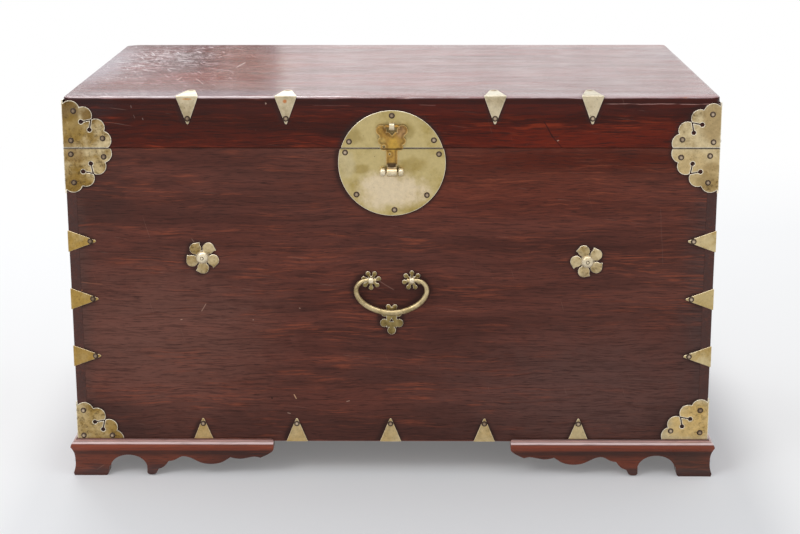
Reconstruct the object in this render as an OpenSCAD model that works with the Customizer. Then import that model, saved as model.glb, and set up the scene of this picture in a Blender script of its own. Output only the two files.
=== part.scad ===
// Lift-lid chest of lacquered boards, with sheet-brass fittings, on moulded bracket feet.
// Millimetres. The origin is on the floor, in the middle of the overall width and depth.
// +X runs along the front, +Y goes to the back and +Z is up.

/* [Chest] */
// Width over the side boards
chest_w = 900; // [760:5:1200]
// Depth from the front face to the back face
chest_d = 550; // [440:5:700]
// Height of the body from its bottom edge to its rim
body_h = 427; // [390:1:520]
// Height from the body's rim to the top of the lid
lid_h = 71.5; // [71.5:0.5:100]
// Gap between the body's rim and the lid's rim
seam_gap = 1; // [0.6:0.1:2]
// Height of the bracket feet under the body
foot_h = 50; // [46:1:70]

/* [Boards] */
// Thickness of the side boards and the lid's side rails
side_t = 14; // [12:0.5:18]
// Thickness of the front board and the lid's front rail
front_t = 15; // [12:0.5:20]
// Thickness of the back board and the lid's back rail
back_t = 14; // [12:0.5:18]
// Thickness of the bottom board
bottom_t = 12; // [9:0.5:16]
// Thickness of the lid's top board
top_t = 10; // [8:0.5:16]
// Radius of the top board's corners in plan
top_corner_r = 9; // [2:0.5:12]

/* [Bracket feet] */
// Length of the front brackets from the corner
bracket_len = 280; // [240:5:320]
// Length of the side brackets from the corner
side_bracket_len = 196; // [170:2:215]
// Length of the plain rear brackets
rear_bracket_len = 150; // [110:5:200]
// Thickness of a bracket behind the body's face
bracket_in = 12; // [10:1:20]
// How far the bracket's bead stands out from the body's face
bead_out = 10.5; // [8:0.5:14]
// Width of the foot at the floor
foot_w = 42; // [34:1:46]
// Height of the lip that laps over the body's bottom edge
lip_h = 4.5; // [3:0.5:6]
// Side of the square glue blocks in the corners
block_w = 27; // [20:1:30]
// Gap between the glue blocks and the floor
block_lift = 5; // [3:1:10]

/* [Sheet brass] */
// Thickness of the flat plates
plate_t = 1.2; // [0.8:0.1:2]
// Reach of the scalloped corner plates from the corner
corner_r = 66.5; // [56:0.5:72]
// Radius of one scallop of the corner plates
scallop_r = 13.5; // [12.5:0.1:14.5]
// Diameter of the nail heads
nail_d = 7; // [5:0.5:9]
// Height of the nail heads
nail_h = 2.1; // [1.5:0.1:3]
// Width of the straps where they cross an edge
strap_w = 30.5; // [24:0.5:36]
// Length of the lid straps on the front
lid_strap_len = 38; // [30:1:46]
// Length of the lid straps on the top board
lid_strap_top = 55; // [40:1:80]
// Length of the straps on the side edges
side_strap_len = 38; // [30:1:46]
// Length of the straps on the bottom edge
bottom_strap_len = 35; // [28:1:42]
// How far the bottom straps turn in under the front board
strap_turn = 12; // [8:1:15]
// Radius of the straps' pointed tips
strap_tip_r = 1.6; // [1:0.1:5]
// Radius of the blunt ends on the top board
strap_end_r = 5.5; // [3:0.5:8]
// Sideways places of the lid straps, as parts of the width
lid_strap_at = [-0.31, -0.16, 0.158, 0.306];
// Sideways place of the middle bottom strap
bottom_strap_mid = -2; // [-10:0.5:10]
// Distance between neighbouring bottom straps
bottom_strap_pitch = 134; // [120:1:150]
// Height of the side straps above the body's bottom edge
side_strap_z = [128, 212, 295.5];

/* [Lock] */
// Radius of the round lock plate
lock_r = 74; // [68:0.5:80]
// Middle of the lock plate below the body's rim
lock_drop = 20.5; // [10:0.5:30]
// Sideways place of the lock plate's middle
lock_x = 1; // [-5:0.5:5]
// Thickness of the hasp's plate
hasp_t = 2.4; // [1.6:0.1:3]
// Radius of the hasp's pivot bar
hasp_pin_r = 1.7; // [1.4:0.1:2]
// Height of the hasp's pivot above the body's rim
hasp_pivot_z = 31; // [28:0.5:34]
// Distance from the pivot down to the lock tube
hasp_drop = 63; // [58:0.5:68]
// Radius of the bore for the lock's bar
bar_r = 3; // [2:0.1:3.6]
// Wall of the lock tube round the bore
tube_wall = 2.8; // [2:0.1:3.5]
// Length of the hasp's tube
tube_len = 13.6; // [11:0.2:16]
// Width of each fixed lock eye
eye_w = 8; // [6:0.5:10]
// Side gap between the hasp's tube and the lock eyes
eye_gap = 1.6; // [0.8:0.1:3]

/* [Bail] */
// Height of the bail's pivots above the body's bottom edge
bail_z = 242; // [200:1:280]
// Distance between the bail's two eyes
bail_eyes = 57; // [50:1:66]
// Half the outer reach of the bail's centre line
bail_reach = 49.5; // [44:0.5:56]
// Drop of the bail's centre line below its pivots
bail_drop = 47; // [40:0.5:54]
// Radius of the bail's bar at its middle
bail_r = 4.1; // [3.5:0.1:5]
// Radius of the bail's ends in the eyes
bail_end_r = 2.5; // [2:0.1:3]
// Distance of the bail's pivots from the front face
bail_out = 11; // [10:0.5:14]
// Radius of the round eyes
bail_eye_r = 5.2; // [4.6:0.1:6]

/* [Studs] */
// Places of the studs, from the middle and up from the body's bottom edge
stud_places = [[-264, 272.5], [273, 267]];
// Radius of the domes
dome_r = 9.3; // [8:0.1:11]
// Height of the domes
dome_h = 8; // [6:0.5:9]
// Distance of the petals' middles from the dome's middle
petal_reach = 15.5; // [14:0.5:18]
// Radius of the petals
petal_r = 8.2; // [7:0.1:9]

/* [Hinges] */
// Distance between the middles of the two hinges
hinge_span = 520; // [400:10:640]
// Width of a hinge
hinge_w = 60; // [45:1:80]
// Height of a hinge leaf
hinge_leaf_h = 34; // [28:1:40]
// Thickness of a hinge leaf
hinge_leaf_t = 2; // [1.5:0.1:2.5]
// Radius of a hinge knuckle
knuckle_r = 5.5; // [4.5:0.1:7]
// Radius of a hinge pin
hinge_pin_r = 2.4; // [2:0.1:3]

/* [Clearances] */
// Radial running clearance of every pivot
run_gap = 0.05; // [0.02:0.01:0.1]
// Gap between neighbouring hinge knuckles
knuckle_gap = 0.5; // [0.3:0.1:1]
// Clearance of a hinge knuckle in the other leaf
knuckle_clear = 0.6; // [0.4:0.1:1]

/* [Hidden] */
$fn = 48;

wood_colour = "#4a231a";
foot_colour = "#6b3222";
brass_colour = "#b9a56c";
hasp_colour = "#b08a3c";

// Levels
body_z = foot_h;
rim_z = body_z + body_h;
lid_z = rim_z + seam_gap;
lid_top_z = rim_z + lid_h;
lid_board_z = lid_top_z - top_t;

// The lock tube lies against the back of the hasp's plate
tube_r = bar_r + tube_wall;
hasp_lobe_up = 2.4;                 // rise of the hasp's lobes above its pivot
hasp_swing_r = norm([hasp_lobe_up, hasp_t / 2]);
hasp_out = plate_t + hasp_swing_r + 0.5;
tube_out = hasp_out - hasp_t / 2 + tube_r;
tube_z = rim_z + hasp_pivot_z - hasp_drop;
eye_x = tube_len / 2 + eye_gap + eye_w / 2;

// Hinge axis behind the back face, level with the seam
hinge_out = knuckle_r + 0.3;
hinge_z = rim_z + seam_gap / 2;

// The overall depth runs from the bail or lock tube to the hinge knuckles
front_proud = max(bail_out + bail_r, tube_out + tube_r, bead_out);
back_proud = hinge_out + knuckle_r;
depth_shift = (front_proud - back_proud) / 2;
front_y = -chest_d / 2 + depth_shift;
back_y = chest_d / 2 + depth_shift;
side_x = chest_w / 2;
inner_w = chest_w - 2 * side_t;
shank_r = 2.4;                      // shanks of eyes and studs through the boards

// ---- placing helpers ----

// Puts children drawn in XY on the front face: +Y becomes up and extrusion goes outwards
module on_front(x, z, out = 0) translate([x, front_y - out, z]) rotate([90, 0, 0]) children();

// Repeats children, modelled at the front left corner, at the left (-1) or right (1) corner
module corner(side) mirror([side > 0 ? 1 : 0, 0, 0]) translate([-side_x, front_y, 0]) children();

// Shank along Y from the front face to the back of a board
module shank(x, z, out, depth) on_front(x, z, -depth) cylinder(r = shank_r, h = depth + out);

// Box from corner a to corner b
module slab(a, b) translate(a) cube(b - a);

// ---- boards ----

// Holes for shanks, through a board of the given depth or through a plate on its face
module board_holes(places, depth)
    for (p = places) on_front(p[0], p[1], -depth - 1) cylinder(r = shank_r, h = depth + 6);

body_shanks = concat(
    [for (s = [-1, 1]) [lock_x + s * eye_x, tube_z]],
    [for (s = [-1, 1]) [s * bail_eyes / 2, body_z + bail_z]],
    [for (p = stud_places) [p[0], body_z + p[1]]]);

lid_strap_x = lid_strap_at * chest_w;
bottom_strap_x = [for (i = [-2:2]) bottom_strap_mid + i * bottom_strap_pitch];

module front_board() color(wood_colour) difference() {
    slab([-inner_w / 2, front_y, body_z], [inner_w / 2, front_y + front_t, rim_z]);
    board_holes(body_shanks, front_t);
    for (x = bottom_strap_x)
        slab([x - strap_w / 2, front_y - 1, body_z - 1],
             [x + strap_w / 2, front_y + strap_turn, body_z + plate_t]);
}
module back_board() color(wood_colour)
    slab([-inner_w / 2, back_y - back_t, body_z], [inner_w / 2, back_y, rim_z]);
module side_board(z0, z1) color(wood_colour)
    corner(-1) slab([0, 0, z0], [side_t, chest_d, z1]);
module left_side_board() side_board(body_z, rim_z);
module right_side_board() mirror([1, 0, 0]) side_board(body_z, rim_z);
module bottom_board() color(wood_colour)
    slab([-inner_w / 2, front_y + front_t, body_z],
         [inner_w / 2, back_y - back_t, body_z + bottom_t]);

module lid_front_rail() color(wood_colour) difference() {
    slab([-inner_w / 2, front_y, lid_z], [inner_w / 2, front_y + front_t, lid_board_z]);
    board_holes([[lock_x, rim_z + hasp_pivot_z]], front_t);
}
module lid_back_rail() color(wood_colour)
    slab([-inner_w / 2, back_y - back_t, lid_z], [inner_w / 2, back_y, lid_board_z]);
module lid_left_rail() side_board(lid_z, lid_board_z);
module lid_right_rail() mirror([1, 0, 0]) side_board(lid_z, lid_board_z);
module lid_top_board() color(wood_colour)
    translate([0, front_y + chest_d / 2, lid_board_z]) linear_extrude(top_t)
        rounded_rect(chest_w, chest_d, top_corner_r);

module rounded_rect(w, d, r) {
    square([w - 2 * r, d], center = true);
    square([w, d - 2 * r], center = true);
    for (x = [-1, 1], y = [-1, 1]) translate([x * (w / 2 - r), y * (d / 2 - r)]) circle(r);
}

// ---- bracket feet ----

// Points from p to q on a shallow curve with the given bulge to the left of the way
function curve(p, q, bulge, n = 6) =
    let (d = q - p, side = [-d[1], d[0]] / norm(d))
    [for (i = [1:n]) let (t = i / n) p + t * d + 4 * t * (1 - t) * bulge * side];

// Moulded section: outward distance from the body's face, height above the floor.
// Its lip stands off the face by the thickness of the plates and straps behind it.
function bracket_section() = let (
        b = bead_out, top = foot_h,
        quirk = [b - 7, top + lip_h - 2],
        bead = [b, top - 6.5],
        cove = [b - 5.2, top - 27],
        flare = [b - 2.7, 4.3])
    concat([[-bracket_in, 0], [-bracket_in, top], [plate_t, top], [plate_t, top + lip_h]],
           [[b - 7.8, top + lip_h], [b - 7, top + lip_h - 0.8]],
           [quirk], curve(quirk, bead, 1.9),
           curve(bead, cove, -1.6), curve(cove, flare, -1.1), [[b - 3.6, 0]]);

// The scrolls are drawn for a bracket 280 long and 50 high, and follow the feet's height
drawn_len = 280;
scroll = foot_h / 50;
spur_u = 104;                       // distance of the spur's tip from the corner, as drawn
spur_lift = 1.5;                    // the spur's tip clears the floor
arch = [[71.5, 40], [27, 21]];      // middle and half axes of the arch, depths downwards

// Drawn distances beyond the spur shrink with a shorter bracket
function tail(p, len) =
    [p[0] <= spur_u ? scroll * p[0] : scroll * spur_u
        + (p[0] - spur_u) * (len - scroll * spur_u) / (drawn_len - spur_u),
     foot_h - scroll * p[1]];
function arch_points(len) = [for (a = [168:-12:12])
    tail(arch[0] + [arch[1][0] * cos(a), -arch[1][1] * sin(a)], len) + [foot_w - scroll * 42, 0]];

// Smooth line through points: between two of them it bends with the slope of their neighbours
function between(a, b, c, d, t) = 0.5 * (2 * b + (c - a) * t + (2 * a - 5 * b + 4 * c - d) * t * t
    + (3 * b - a - 3 * c + d) * t * t * t);
function smooth(list, steps = 3) = let (last = len(list) - 1)
    [for (i = [0:last - 1], k = [0:steps - 1])
        between(list[max(i - 1, 0)], list[i], list[i + 1], list[min(i + 2, last)], k / steps)];

// Stretches of the scrolled lower edge from the end to the spur, with a cusp after each:
// distance from the corner and depth below the body, as drawn
nose = [[280.5, 6], [279.3, 12], [271.5, 18.3], [261, 23.4]];
ripple = [[261, 23.4], [252.5, 21.7], [242, 23.6], [232.5, 25.1], [223.5, 24.2], [218, 22.6]];
belly = [[218, 22.6], [213, 26], [206.5, 30], [198, 32.5], [189.5, 33.2], [182, 32.6],
         [175, 30.8], [167, 26.9], [159.5, 23.2], [151, 21.3], [144.5, 23.1], [139.5, 26.1],
         [134, 28.1], [128.8, 28.9]];
step = [[128.8, 28.9], [125.8, 33.2], [121.8, 37.2], [117.8, 39.3], [114.6, 40.2]];
spur = [[114.6, 40.2], [112.8, 43], [111.4, 45.8], [108.6, 47.9], [spur_u, 50 - spur_lift],
        [100.6, 48], [98.7, 46.6], [97.9, 45]];

// Whole outline of a bracket seen from its show side
function bracket_outline(len) = concat(
    [[-bead_out - 2, -1], [-bead_out - 2, foot_h + lip_h + 1]],
    [tail([277, -5.5], len), tail([280, -1.5], len)],
    [for (part = [nose, ripple, belly, step, spur]) each [for (p = smooth(part)) tail(p, len)]],
    [for (i = [len(arch_points(len)) - 1:-1:0]) arch_points(len)[i]],
    [[foot_w + 1.5, foot_h - scroll * 36], [foot_w + 0.7, 4.6], [foot_w - 0.5, 1.9],
     [foot_w - 2.3, 0.4], [foot_w - 3.2, -1]]);

// One bracket at a corner, running along +X, with its moulding towards -Y
module bracket(len, mitred) color(foot_colour) intersection() {
    translate([-bead_out - 1, 0, 0]) rotate([90, 0, 90]) linear_extrude(len + bead_out + 4)
        polygon([for (p = bracket_section()) [-p[0], p[1]]]);
    translate([0, bracket_in + 1, 0]) rotate([90, 0, 0]) linear_extrude(bracket_in + bead_out + 2)
        polygon(bracket_outline(len));
    linear_extrude(foot_h + lip_h + 1)
        polygon([mitred ? [-bead_out - 9, -bead_out - 9] : [0, -bead_out - 9],
                 [len + 9, -bead_out - 9], [len + 9, bracket_in + 9],
                 mitred ? [bracket_in + 9, bracket_in + 9] : [0, bracket_in + 9]]);
}
module side_bracket(len, mitred) mirror([1, -1, 0]) bracket(len, mitred);

module front_bracket_left() corner(-1) bracket(bracket_len, true);
module front_bracket_right() corner(1) bracket(bracket_len, true);
module side_bracket_front_left() corner(-1) side_bracket(side_bracket_len, true);
module side_bracket_front_right() corner(1) side_bracket(side_bracket_len, true);
module rear_corner(side) mirror([side > 0 ? 1 : 0, 0, 0]) translate([-side_x, back_y, 0])
    mirror([0, 1, 0]) children();
module side_bracket_rear_left() rear_corner(-1) side_bracket(side_bracket_len, false);
module side_bracket_rear_right() rear_corner(1) side_bracket(side_bracket_len, false);

// Plain rear bracket between the side brackets, flush with the back
rear_tip = [rear_bracket_len, foot_h - scroll * 14];
rear_bend = [foot_w + scroll * 26, foot_h - scroll * 20];
module rear_bracket() color(foot_colour)
    translate([0, bracket_in, 0]) rotate([90, 0, 0]) linear_extrude(bracket_in)
        polygon(concat([[bracket_in, 0], [bracket_in, foot_h], [rear_bracket_len, foot_h]],
                       [rear_tip], curve(rear_tip, rear_bend, 1.5),
                       curve(rear_bend, [foot_w, 8], 7), [[foot_w, 0]]));
module rear_bracket_left() rear_corner(-1) rear_bracket();
module rear_bracket_right() rear_corner(1) rear_bracket();

module glue_block() slab([bracket_in, bracket_in, block_lift],
                         [bracket_in + block_w, bracket_in + block_w, foot_h]);
module foot_glue_blocks() color(foot_colour) for (s = [-1, 1]) {
    corner(s) glue_block();
    rear_corner(s) glue_block();
}

// ---- nails ----

// Domed nail head standing on the plane z = 0
module nail_head() {
    ball_r = (nail_d * nail_d / 4 + nail_h * nail_h) / (2 * nail_h);
    rotate_extrude() intersection() {
        translate([0, nail_h - ball_r]) circle(ball_r);
        square([nail_d / 2, nail_h]);
    }
}
module front_nails(places) for (p = places) on_front(p[0], p[1], plate_t) nail_head();

// ---- scalloped corner plates, folded round the vertical edges ----

scallop_reach = corner_r - scallop_r;
scroll_r = scallop_r - 1.3;         // the two middle scallops are smaller and part at the notch
notch = [38.6, 38.6];
keyholes = [[24.8, 36], [36, 24.8]];
keyhole_r = 3.1;
slit_w = 1.7;

// Quarter of a sixteen-lobed plate with two keyhole slits that run in from the middle notch
module quarter_plate() difference() {
    union() {
        circle(scallop_reach);
        for (a = [11.25, 78.75]) rotate(a) translate([scallop_reach, 0]) circle(scallop_r);
        for (a = [32, 58]) rotate(a) translate([scallop_reach, 0]) circle(scroll_r);
    }
    for (k = keyholes) {
        translate(k) circle(keyhole_r);
        slit(notch, k);
    }
}
module slit(p, q) translate(p) rotate(atan2(q[1] - p[1], q[0] - p[0]))
    translate([-slit_w / 2, -slit_w / 2]) square([norm(q - p) + slit_w / 2, slit_w]);

// The hand-cut plates differ: side, base, up (1) or down (-1) from it, how much of the pattern
// is cut off at the base, and the places of the nails
upper_left_plate = [-1, rim_z, -1, 3.5, [[11.5, 48], [9, 8.2], [54, 11.8]]];
upper_right_plate = [1, rim_z, -1, 3.5, [[13.8, 48], [12.4, 10.4], [52, 12.5]]];
lower_left_plate = [-1, body_z, 1, 7, [[9, 46.5], [8, 8.8], [49, 8.8]]];
lower_right_plate = [1, body_z, 1, 1, [[11, 48], [10.5, 14.5], [52, 17]]];
lid_left_plate = [-1, lid_z, 1, 0, [[15, 51], [10, 10], [53.6, 13]]];
lid_right_plate = [1, lid_z, 1, 4, [[11, 46.2], [8.6, 7.8], [51.2, 11.3]]];

// Leaf on the front, with the strip that turns the corner
module corner_leaf(up, cut) rotate([90, 0, 0]) linear_extrude(plate_t)
    mirror([0, up > 0 ? 0 : 1]) intersection() {
        union() {
            translate([0, -cut]) quarter_plate();
            translate([-plate_t, 0]) square([plate_t + 1, corner_r - cut]);
        }
        translate([-plate_t, 0]) square([corner_r + plate_t, corner_r]);
    }
module corner_plate(p) color(brass_colour) corner(p[0]) translate([0, 0, p[1]]) {
    corner_leaf(p[2], p[3]);
    mirror([1, -1, 0]) corner_leaf(p[2], p[3]);
}
module corner_plate_nails(p) color(brass_colour) corner(p[0]) for (n = p[4]) {
    translate([n[0], -plate_t, p[1] + p[2] * n[1]]) rotate([90, 0, 0]) nail_head();
    translate([-plate_t, n[0], p[1] + p[2] * n[1]]) rotate([0, -90, 0]) nail_head();
}

module body_corner_upper_left() corner_plate(upper_left_plate);
module body_corner_upper_right() corner_plate(upper_right_plate);
module body_corner_lower_left() corner_plate(lower_left_plate);
module body_corner_lower_right() corner_plate(lower_right_plate);
module lid_corner_left() corner_plate(lid_left_plate);
module lid_corner_right() corner_plate(lid_right_plate);
module body_corner_nails() for (p = [upper_left_plate, upper_right_plate,
                                     lower_left_plate, lower_right_plate]) corner_plate_nails(p);
module lid_corner_nails() for (p = [lid_left_plate, lid_right_plate]) corner_plate_nails(p);

// ---- straps ----

// Tapered leaf from its base on the X axis to a round tip at +Y
function strap_points(len, tip_r) = let (
        c = len - tip_r,
        lean = acos(tip_r / norm([c, strap_w / 2])) - atan2(c, strap_w / 2))
    concat([[-strap_w / 2, 0], [strap_w / 2, 0]],
           [for (i = [0:8]) let (a = lean + (180 - 2 * lean) * i / 8)
               [tip_r * cos(a), c + tip_r * sin(a)]]);
module strap_leaf(len, turn, tip_r = strap_tip_r) linear_extrude(plate_t) {
    polygon(strap_points(len, tip_r));
    translate([-strap_w / 2, -turn]) square([strap_w, turn]);
}
strap_nail_up = 7.8;                // distance of a strap's nail from its tip

// Strap folded over the vertical edge, modelled at the front left corner
module edge_strap(z) translate([0, 0, z]) {
    rotate([90, 0, 0]) rotate(-90) strap_leaf(side_strap_len, plate_t);
    mirror([1, -1, 0]) rotate([90, 0, 0]) rotate(-90) strap_leaf(side_strap_len, plate_t);
}
module side_straps(side) color(brass_colour)
    corner(side) for (z = side_strap_z) edge_strap(body_z + z);
module side_straps_left() side_straps(-1);
module side_straps_right() side_straps(1);

// Straps that stand on the bottom edge and turn in under the front board
module bottom_straps() color(brass_colour) for (x = bottom_strap_x) {
    on_front(x, body_z) strap_leaf(bottom_strap_len, 0);
    slab([x - strap_w / 2, front_y - plate_t, body_z],
         [x + strap_w / 2, front_y + strap_turn, body_z + plate_t]);
}

module lid_straps() color(brass_colour) for (x = lid_strap_x) {
    on_front(x, lid_top_z) mirror([0, 1]) strap_leaf(lid_strap_len, plate_t);
    translate([x, front_y, lid_top_z]) strap_leaf(lid_strap_top, plate_t, strap_end_r);
}

module body_strap_nails() color(brass_colour) {
    front_nails([for (x = bottom_strap_x) [x, body_z + bottom_strap_len - strap_nail_up]]);
    for (s = [-1, 1], z = side_strap_z) corner(s) translate([0, 0, body_z + z]) {
        translate([side_strap_len - strap_nail_up, -plate_t, 0]) rotate([90, 0, 0]) nail_head();
        translate([-plate_t, side_strap_len - strap_nail_up, 0]) rotate([0, -90, 0]) nail_head();
    }
}
module lid_strap_nails() color(brass_colour) {
    front_nails([for (x = lid_strap_x) [x, lid_top_z - lid_strap_len + strap_nail_up]]);
    for (x = lid_strap_x)
        translate([x, front_y + lid_strap_top - strap_nail_up, lid_top_z + plate_t]) nail_head();
}

// ---- round lock plate in two segments, split at the seam ----

lock_z = rim_z - lock_drop;
module lock_plate(r, z0, z1) color(brass_colour) difference() {
    on_front(lock_x, lock_z) linear_extrude(plate_t) intersection() {
        circle(r, $fn = 96);
        translate([-r - 1, z0 - lock_z]) square([2 * r + 2, z1 - z0]);
    }
    board_holes([for (s = [-1, 1]) [lock_x + s * eye_x, tube_z]], plate_t);
    board_holes([[lock_x, rim_z + hasp_pivot_z]], plate_t);
}
module lower_lock_plate() lock_plate(lock_r, rim_z - lock_r - lock_drop - 1, rim_z);
module upper_lock_plate() lock_plate(lock_r - 0.8, lid_z, lid_z + lock_r);

lock_nail_r = lock_r - 8;
module lock_nails(angles) color(brass_colour)
    front_nails([for (a = angles) [lock_x, lock_z] + lock_nail_r * [cos(a), sin(a)]]);
module lock_plate_nails_lower() lock_nails([167, 222, 273, 317, 11]);
module lock_plate_nails_upper() lock_nails([29, 90, 153]);

// Fixed eye whose bore lines up with the hasp's tube
module lock_eye(side) color(brass_colour) difference() {
    union() {
        translate([lock_x + side * eye_x, front_y - tube_out, tube_z]) rotate([0, 90, 0])
            cylinder(r = tube_r + 0.1, h = eye_w, center = true);
        shank(lock_x + side * eye_x, tube_z, tube_out, front_t);
    }
    translate([lock_x + side * eye_x, front_y - tube_out, tube_z]) rotate([0, 90, 0])
        cylinder(r = bar_r, h = eye_w + 2, center = true);
}
module lock_eye_left() lock_eye(-1);
module lock_eye_right() lock_eye(1);

// ---- hasp ----

hasp_eye_w = 7;
hasp_eye_r = 5.4;
hasp_window = hasp_eye_w + 2.4;
hasp_neck = 16;                     // width of the neck above the lock tube
hasp_shoulder = hasp_drop - tube_r - 3;  // where the neck narrows, above the lock eyes

// Ring that the hasp hangs in, with its shank through the lid's front rail
module hasp_eye() color(brass_colour) difference() {
    union() {
        intersection() {
            translate([lock_x, front_y - hasp_out, rim_z + hasp_pivot_z]) rotate([0, 90, 0])
                cylinder(r = hasp_eye_r, h = hasp_eye_w, center = true);
            on_front(lock_x, rim_z + hasp_pivot_z, plate_t)
                translate([0, 0, 10]) cube([2 * hasp_eye_w, 4 * hasp_eye_r, 20], center = true);
        }
        shank(lock_x, rim_z + hasp_pivot_z, plate_t + 0.4, front_t);
    }
    translate([lock_x, front_y - hasp_out, rim_z + hasp_pivot_z]) rotate([0, 90, 0])
        cylinder(r = hasp_pin_r + run_gap, h = hasp_eye_w + 2, center = true);
}

// Butterfly plate with a window for the eye, three pairs of lobes and a neck
module hasp_outline() difference() {
    union() {
        for (s = [-1, 1]) {
            translate([s * 14.4, hasp_lobe_up - 7.6]) circle(7.6);
            translate([s * 11.2, -12]) circle(6.2);
            translate([s * 13.4, -19.8]) circle(6);
            translate([s * 10.8, -28.4]) circle(5);
        }
        polygon([[-13, -7], [-13, -25], [-hasp_neck / 2, -34.5],
                 [hasp_neck / 2, -34.5], [13, -25], [13, -7]]);
        translate([-hasp_neck / 2, -hasp_shoulder]) square([hasp_neck, hasp_shoulder - 28]);
        translate([-tube_len / 2 + 0.3, -hasp_drop]) square([tube_len - 0.6, hasp_drop - 28]);
    }
    translate([-hasp_window / 2, -7]) square([hasp_window, 20]);
    polygon([[-hasp_window / 2, -7.1], [hasp_window / 2, -7.1], [0.4, -11.8]]);
    translate([-10.9, -27.6]) circle(1.9);
    translate([-3, -38]) circle(1.2);
}
module hasp() color(hasp_colour) difference() {
    union() {
        on_front(lock_x, rim_z + hasp_pivot_z, hasp_out - hasp_t / 2)
            linear_extrude(hasp_t) hasp_outline();
        translate([lock_x, front_y - hasp_out, rim_z + hasp_pivot_z]) rotate([0, 90, 0])
            cylinder(r = hasp_pin_r, h = 2 * (hasp_window / 2 + 4.6), center = true);
        translate([lock_x, front_y - tube_out, tube_z]) rotate([0, 90, 0])
            cylinder(r = tube_r, h = tube_len, center = true);
    }
    translate([lock_x, front_y - tube_out, tube_z]) rotate([0, 90, 0])
        cylinder(r = bar_r, h = tube_len + 2, center = true);
}

// ---- bail, its eyes and its plates ----

module bail_eye(side) color(brass_colour) difference() {
    union() {
        on_front(side * bail_eyes / 2, body_z + bail_z, bail_out) sphere(bail_eye_r);
        shank(side * bail_eyes / 2, body_z + bail_z, bail_out, front_t);
    }
    on_front(side * bail_eyes / 2, body_z + bail_z, bail_out) rotate([0, 90, 0])
        cylinder(r = bail_end_r + run_gap, h = 3 * bail_eye_r, center = true);
}
module bail_eye_left() bail_eye(-1);
module bail_eye_right() bail_eye(1);

bail_end_x = bail_eyes / 2 + bail_eye_r + 0.8;   // where the bar starts outside an eye
bail_bend_r = bail_reach - bail_end_x;
bail_roundness = 1.85;                             // below 2 the bow is slightly pointed

// Right half of the bail's centre line, from beside the eye down to the middle
function bail_path() = concat(
    [for (a = [90:-15:15]) [bail_end_x, -bail_bend_r] + bail_bend_r * [cos(a), sin(a)]],
    [for (a = [0:7.5:90]) [bail_reach * pow(cos(a), 2 / bail_roundness),
        -bail_bend_r - (bail_drop - bail_bend_r) * pow(sin(a), 2 / bail_roundness)]]);
function mirrored(path) = [for (i = [len(path) - 2:-1:0]) [-path[i][0], path[i][1]]];
bail_line = concat(bail_path(), mirrored(bail_path()));
bail_sides = 14;

// Tube along the bail's line that swells towards the middle
module bail_bow() {
    n = len(bail_line);
    points = [for (i = [0:n - 1]) let (
            before = bail_line[max(i - 1, 0)], after = bail_line[min(i + 1, n - 1)],
            d = i == 0 ? [1, 0] : i == n - 1 ? [-1, 0] * -1 : (after - before) / norm(after - before),
            side = [-d[1], d[0]],
            swell = pow(sin(180 * i / (n - 1)), 0.8),
            r = bail_end_r + 0.15 + (bail_r - bail_end_r - 0.15) * swell)
        for (k = [0:bail_sides - 1]) let (a = 360 * k / bail_sides)
            [bail_line[i][0] + side[0] * r * cos(a), bail_line[i][1] + side[1] * r * cos(a),
             r * sin(a)]];
    faces = concat(
        [[for (k = [0:bail_sides - 1]) k]],
        [for (i = [0:n - 2], k = [0:bail_sides - 1]) let (
                a = i * bail_sides + k, b = i * bail_sides + (k + 1) % bail_sides)
            [b, a, a + bail_sides, b + bail_sides]],
        [[for (k = [bail_sides - 1:-1:0]) (n - 1) * bail_sides + k]]);
    polyhedron(points, faces, convexity = 4);
}
module bail_handle() color(brass_colour) on_front(0, body_z + bail_z, bail_out) {
    bail_bow();
    for (s = [-1, 1]) translate([s * (bail_eyes / 2 - bail_eye_r - 2), 0, 0])
        rotate([0, s * 90, 0]) cylinder(r = bail_end_r, h = 2 * bail_eye_r + 3.2);
}

// Small many-petalled rosette round an eye
rosette_r = 14;
module bail_rosette(side, petals, turn) color(brass_colour) difference() {
    on_front(side * bail_eyes / 2, body_z + bail_z - 2.5) linear_extrude(plate_t + 0.6) {
        circle(5.6);
        for (i = [0:petals - 1]) rotate(turn + i * 360 / petals) {
            translate([rosette_r - 3.2, 0]) circle(3.2);
            translate([0, -1.9]) square([rosette_r - 3.2, 3.8]);
        }
    }
    board_holes([[side * bail_eyes / 2, body_z + bail_z]], plate_t + 1);
}
module bail_rosette_left() bail_rosette(-1, 7, 12);
module bail_rosette_right() bail_rosette(1, 7, 90);

// Flower-shaped plate that the bail rests over
module bail_back_plate() color(brass_colour)
    on_front(0, body_z + bail_z - bail_drop - 11) linear_extrude(plate_t + 0.6) difference() {
        union() {
            for (s = [-1, 1]) {
                translate([s * 10.4, -6.6]) circle(5.9);
                translate([s * 9.6, 8]) circle(5.2);
                translate([s * 4.6, 17.2]) circle(3.4);
            }
            translate([0, -17.4]) circle(5.9);
            translate([-7.4, -13]) square([14.8, 30]);
        }
        polygon([[-2.6, -4.6], [2.6, -4.6], [0, 0]]);
    }

// ---- studs ----

// Five-petal pinwheel; each petal ends in a barb on one side
module stud_rosette(i, turn) color(brass_colour) let (p = stud_places[i], hand = i == 0 ? -1 : 1)
    difference() {
        on_front(p[0], body_z + p[1]) linear_extrude(plate_t) {
            circle(dome_r + 1);
            for (k = [0:4]) rotate(turn + 72 * k) mirror([0, hand > 0 ? 0 : 1]) {
                translate([petal_reach, 0]) circle(petal_r);
                polygon([[petal_reach + petal_r * cos(40), petal_r * sin(40)],
                         [petal_reach + (petal_r + 3) * cos(72), (petal_r + 3) * sin(72)],
                         [petal_reach + petal_r * cos(88), petal_r * sin(88)]]);
            }
        }
        board_holes([[p[0], body_z + p[1]]], plate_t);
    }
module stud_rosette_left() stud_rosette(0, 56);
module stud_rosette_right() stud_rosette(1, 37);

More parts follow.
